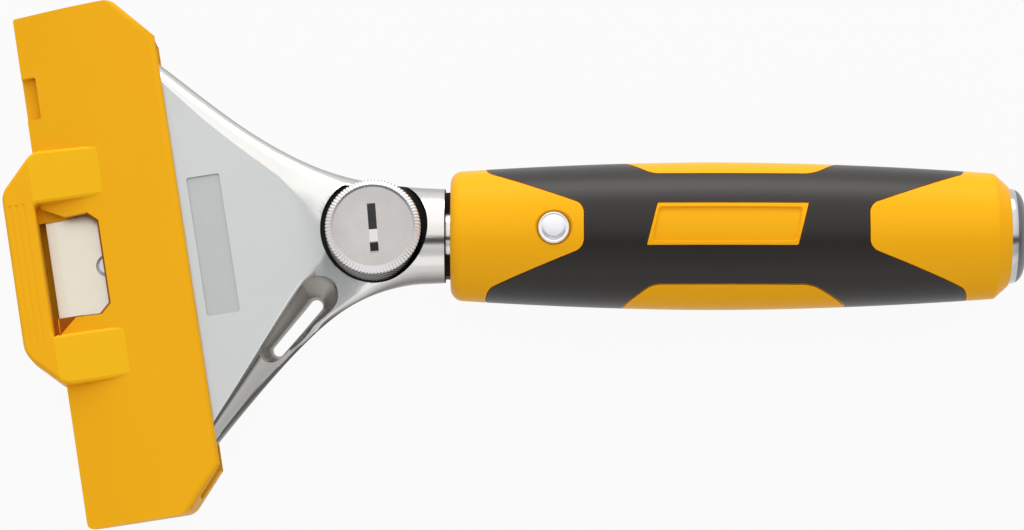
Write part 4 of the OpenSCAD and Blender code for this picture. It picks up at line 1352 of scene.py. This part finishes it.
    def _core(self) -> Object:
        """Yellow core with its pads, bores and label panels."""
        pads = self._pads(self.groove)
        hull = combine(pads[0], *((Cut.JOIN, pad) for pad in pads[1:]))
        combine(hull, (Cut.KEEP, solid(self._barrel(0), HANDLE_PLASTIC)))
        panels = []
        for turn in (Matrix.Identity(4), Matrix.Rotation(math.pi, 4, "X")):
            panels.append(solid(self._label_cut(), HANDLE_PLASTIC, place=turn))
        sunk = combine(panels[0], (Cut.JOIN, panels[1]))
        combine(sunk, (Cut.TAKE, solid(self._barrel(self.label_depth), HANDLE_PLASTIC)))
        bore = rod(Axis.HANDLE, -200, 0, self.tang_r)
        seat = rod(Axis.HANDLE, self.cap_back_x, 9, self.cap_r)
        face, r = self._radius_at(self.pin_x), self.pin_r
        flare = [(face - 0.8, r + 0.08), (face - 0.1, r + 0.6), (FAR, r + 0.8), (FAR, 0)]
        hole = lathe([(-z, x) for z, x in reversed(flare)] + flare, Axis.UPRIGHT, steps=64)
        combine(
            hull,
            (Cut.JOIN, solid(self._barrel(self.grip_t), HANDLE_PLASTIC)),
            (Cut.TAKE, sunk),
            (Cut.TAKE, solid(bore, HANDLE_PLASTIC)),
            (Cut.TAKE, solid(seat, HANDLE_PLASTIC)),
            (Cut.TAKE, solid(hole, HANDLE_PLASTIC, place=self._pin_place())),
        )
        return settle(hull, "dressed_handle_core", "head", "handle_plastic", "handle_core", sharp=35)

    def _grip(self) -> Object:
        """Soft grip that fills the barrel between the pads."""
        made = combine(
            solid(self._barrel(0), GRIP_RUBBER, "grip"),
            (Cut.TAKE, solid(self._barrel(self.grip_t), GRIP_RUBBER)),
            *((Cut.TAKE, pad) for pad in self._pads(0)),
        )
        return settle(made, "dressed_grip_sleeve", "head", "grip_rubber", "grip_sleeve", sharp=35)

    def _pin(self) -> Object:
        """Cross pin with a stepped, domed end on both faces."""
        half, r = self._radius_at(self.pin_x) + self.pin_proud, self.pin_r
        top = [
            (half - 0.75, r), (half - 0.3, r - 0.25), (half - 0.42, r - 0.75), (half - 0.1, r - 1.25), (half, 0.6),
            (half, 0),
        ]
        outline = [(-z, x) for z, x in reversed(top)] + top
        cuts = [0, 0.3, 0.3, 0.15, 0.12, 0.12]
        made = solid(lathe(outline, Axis.UPRIGHT, cuts + cuts[::-1], 64), SATIN_STEEL, place=self._pin_place())
        return settle(made, "dressed_handle_pin", "head", "bright_steel", "handle_pin")

    def _cap(self) -> Object:
        """Steel strike cap set in the butt."""
        back, r = self.cap_back_x, self.cap_r
        outline = [(back, 0), (back, r), (-2.1, r), (-0.55, r - 1.5), (0, r - 5.2), (0, 0)]
        made = solid(lathe(outline, Axis.HANDLE, (0, 0.2, 0.9, 1.1, 1.8, 0)), BRIGHT_STEEL)
        # The faces that turn to the butt take the darker, duller steel.
        paint(made, DARK_CAP_STEEL, lambda face: face.normal.x > 0.36)
        return settle(made, "dressed_strike_cap", "head", "bright_steel", "strike_cap")


@dataclass
class LiftSpring:
    """Coil spring between the casting and the clamp plate. Sizes in mm."""

    centre_x: float = -133.6
    coil_r: float = 4.6
    wire_r: float = 0.3
    low_z: float = -3.6
    top_z: float = -1.4
    turns: int = 2
    per_turn: int = 36
    sides: int = 10

    def build(self) -> Object:
        """Builds the coil between the casting and the plate.

        Returns:
            The finished piece.
        """
        steps = self.turns * self.per_turn
        rings = []
        for i in range(steps + 1):
            turn, z = math.tau * i / self.per_turn, mix(self.low_z, self.top_z, i / steps)
            ring = []
            for k in range(self.sides):
                round_wire = math.tau * k / self.sides
                r = self.coil_r + self.wire_r * math.cos(round_wire)
                ring.append(Vector((
                    self.centre_x + r * math.cos(turn), r * math.sin(turn), z + self.wire_r * math.sin(round_wire)
                )))
            rings.append(ring)
        made = solid(skin(rings), PLAIN_STEEL, "spring")
        reach = [Vector((self.centre_x, 0, z)) * MM for z in (self.top_z, self.low_z)]
        return settle(made, "dressed_lift_spring", "head", "plain_steel", "lift_spring", onto="clamp", reach=reach)


@dataclass
class Hardware:
    """Small parts that keep their CAD shapes, with the finish of each."""

    finishes: dict[str, Finish] = field(
        default_factory=lambda: {
            "blade_pin": BRIGHT_STEEL,
            "guide_pin_upper": PLAIN_STEEL,
            "guide_pin_lower": PLAIN_STEEL,
            "clamp_plate": BLASTED_ALLOY,
            "clamp_screw": PLAIN_STEEL,
            "knob_washer": PLAIN_STEEL,
            "retaining_ring": PLAIN_STEEL,
            "threaded_bush": TURNED_BRASS,
            "core_rod": PLAIN_STEEL,
        }
    )

    def dress(self) -> None:
        """Gives each CAD part its finish."""
        for name, finish in self.finishes.items():
            node = frame["nodes"][name]
            node.data.materials.clear()
            node.data.materials.append(finish.material())
            LOG.info("%s dressed as %s", name, finish.name)


@dataclass
class Studio:
    """Camera, floor and soft light. Angles in degrees, lengths in metres."""

    target: tuple[float, float, float] = (-0.10535, -0.00586, -0.00088)
    tilt: float = 8.55
    distance: float = 0.9
    lens: float = 153.8
    floor_z: float = -0.0156
    sky: Outline = (
        (-180, 0.35), (-95, 0.5), (-82, 1.0), (-62, 1.0), (-54, 0.62), (-44, 0.6), (-30, 0.8), (-26, 0.12), (-22, 0.04),
        (-16, 0.04), (-12, 0.15), (-5, 1.0), (12, 1.05), (30, 1.2), (80, 1.2), (100, 0.6), (180, 0.35),
    )
    sky_strength: tuple[float, float] = (1.14, 0.65)
    floor_colour: str = "#B4B4B4"
    floor_glow: float = 0.94
    key_power: float = 4.2
    key_size: tuple[float, float] = (0.9, 0.5)
    key_spot: tuple[float, float, float] = (-0.1, 1.0, 0.24)
    key_turn: float = -76.0

    def build(self) -> None:
        """Sets up camera, world, floor and key light."""
        scene = bpy.context.scene
        scene.view_settings.view_transform = "Standard"
        lens = bpy.data.cameras.new("camera")
        lens.lens, lens.sensor_width, lens.clip_start = self.lens, 36.0, 0.01
        camera = bpy.data.objects.new("camera", lens)
        tilt = math.radians(self.tilt)
        away = Vector((0, -math.sin(tilt), math.cos(tilt)))
        camera.location = Vector(self.target) + self.distance * away
        camera.rotation_euler = (tilt, 0, 0)
        scene.collection.objects.link(camera)
        scene.camera = camera
        self._sky()
        self._floor()
        self._key()

    def _sky(self) -> None:
        """Studio round the tool: white above and behind it, a dark gap at the camera, paler in front."""
        world = bpy.data.worlds.new("studio")
        bpy.context.scene.world = world
        world.use_nodes = True
        tree = world.node_tree
        way = add(tree, "SeparateXYZ", {0: add(tree, "TexCoord").outputs["Generated"]})
        angle = add(tree, "Math", {0: way.outputs["Y"], 1: way.outputs["Z"]}, operation="ARCTAN2")
        share = add(tree, "MapRange", {"Value": angle.outputs[0], "From Min": -math.pi, "From Max": math.pi})
        bands = add(tree, "ValToRGB", {"Fac": share.outputs["Result"]})
        ramp = bands.color_ramp
        for i, (degrees, value) in enumerate(self.sky):
            stop = ramp.elements[i] if i < 1 else ramp.elements.new((degrees + 180) / 360)
            stop.position, stop.color = (degrees + 180) / 360, (value, value, value, 1)
        back = tree.nodes["Background"]
        tree.links.new(bands.outputs["Color"], back.inputs["Color"])
        aside = add(tree, "Math", {0: way.outputs["X"], 1: way.outputs["X"]}, operation="MULTIPLY")
        near, far = self.sky_strength
        dim = add(tree, "MapRange", {"Value": aside.outputs[0], "To Min": near, "To Max": far})
        tree.links.new(dim.outputs["Result"], back.inputs["Strength"])

    def _floor(self) -> None:
        """Pale floor that shows white to the camera and in reflections, and keeps a soft shadow."""
        bm = bmesh.new()
        bmesh.ops.create_grid(bm, x_segments=1, y_segments=1, size=6.0)
        bmesh.ops.translate(bm, vec=(0, 0, self.floor_z), verts=bm.verts[:])
        mesh = bpy.data.meshes.new("floor")
        bm.to_mesh(mesh)
        bm.free()
        floor = bpy.data.objects.new("floor", mesh)
        bpy.context.scene.collection.objects.link(floor)
        paper = bpy.data.materials.new("white paper")
        paper.use_nodes = True
        tree = paper.node_tree
        sheet = tree.nodes["Principled BSDF"]
        sheet.inputs["Base Color"].default_value = linear(self.floor_colour)
        sheet.inputs["Roughness"].default_value = 0.9
        rays = add(tree, "LightPath").outputs
        seen = rays["Is Camera Ray"]
        for other in ("Is Glossy Ray", "Is Transmission Ray"):
            seen = add(tree, "Math", {0: seen, 1: rays[other]}, operation="MAXIMUM").outputs[0]
        share = add(tree, "Math", {0: seen, 1: self.floor_glow}, operation="MULTIPLY")
        glow = add(tree, "Emission", {"Color": (1, 1, 1, 1), "Strength": 1.0})
        blend = add(tree, "MixShader", {0: share.outputs[0], 1: sheet.outputs[0], 2: glow.outputs[0]})
        tree.links.new(blend.outputs[0], tree.nodes["Material Output"].inputs["Surface"])
        mesh.materials.append(paper)

    def _key(self) -> None:
        """Large soft light from the far side, high up."""
        lamp = bpy.data.lights.new("key", "AREA")
        lamp.shape, lamp.energy = "RECTANGLE", self.key_power
        lamp.size, lamp.size_y = self.key_size
        key = bpy.data.objects.new("key", lamp)
        key.location = self.key_spot
        key.rotation_euler = (math.radians(self.key_turn), 0, 0)
        bpy.context.scene.collection.objects.link(key)


def main() -> None:
    """Builds and dresses the tool in order."""
    logging.basicConfig(level=logging.INFO, format="%(name)s: %(message)s")
    place = HeadPlace.read()
    Studio().build()
    HeadCasting(place).build()
    Blade(place).build()
    BladeCover(place).build()
    ClampKnob(place).build()
    Handle().build()
    LiftSpring().build()
    Hardware().dress()


if __name__ == "__main__":
    main()
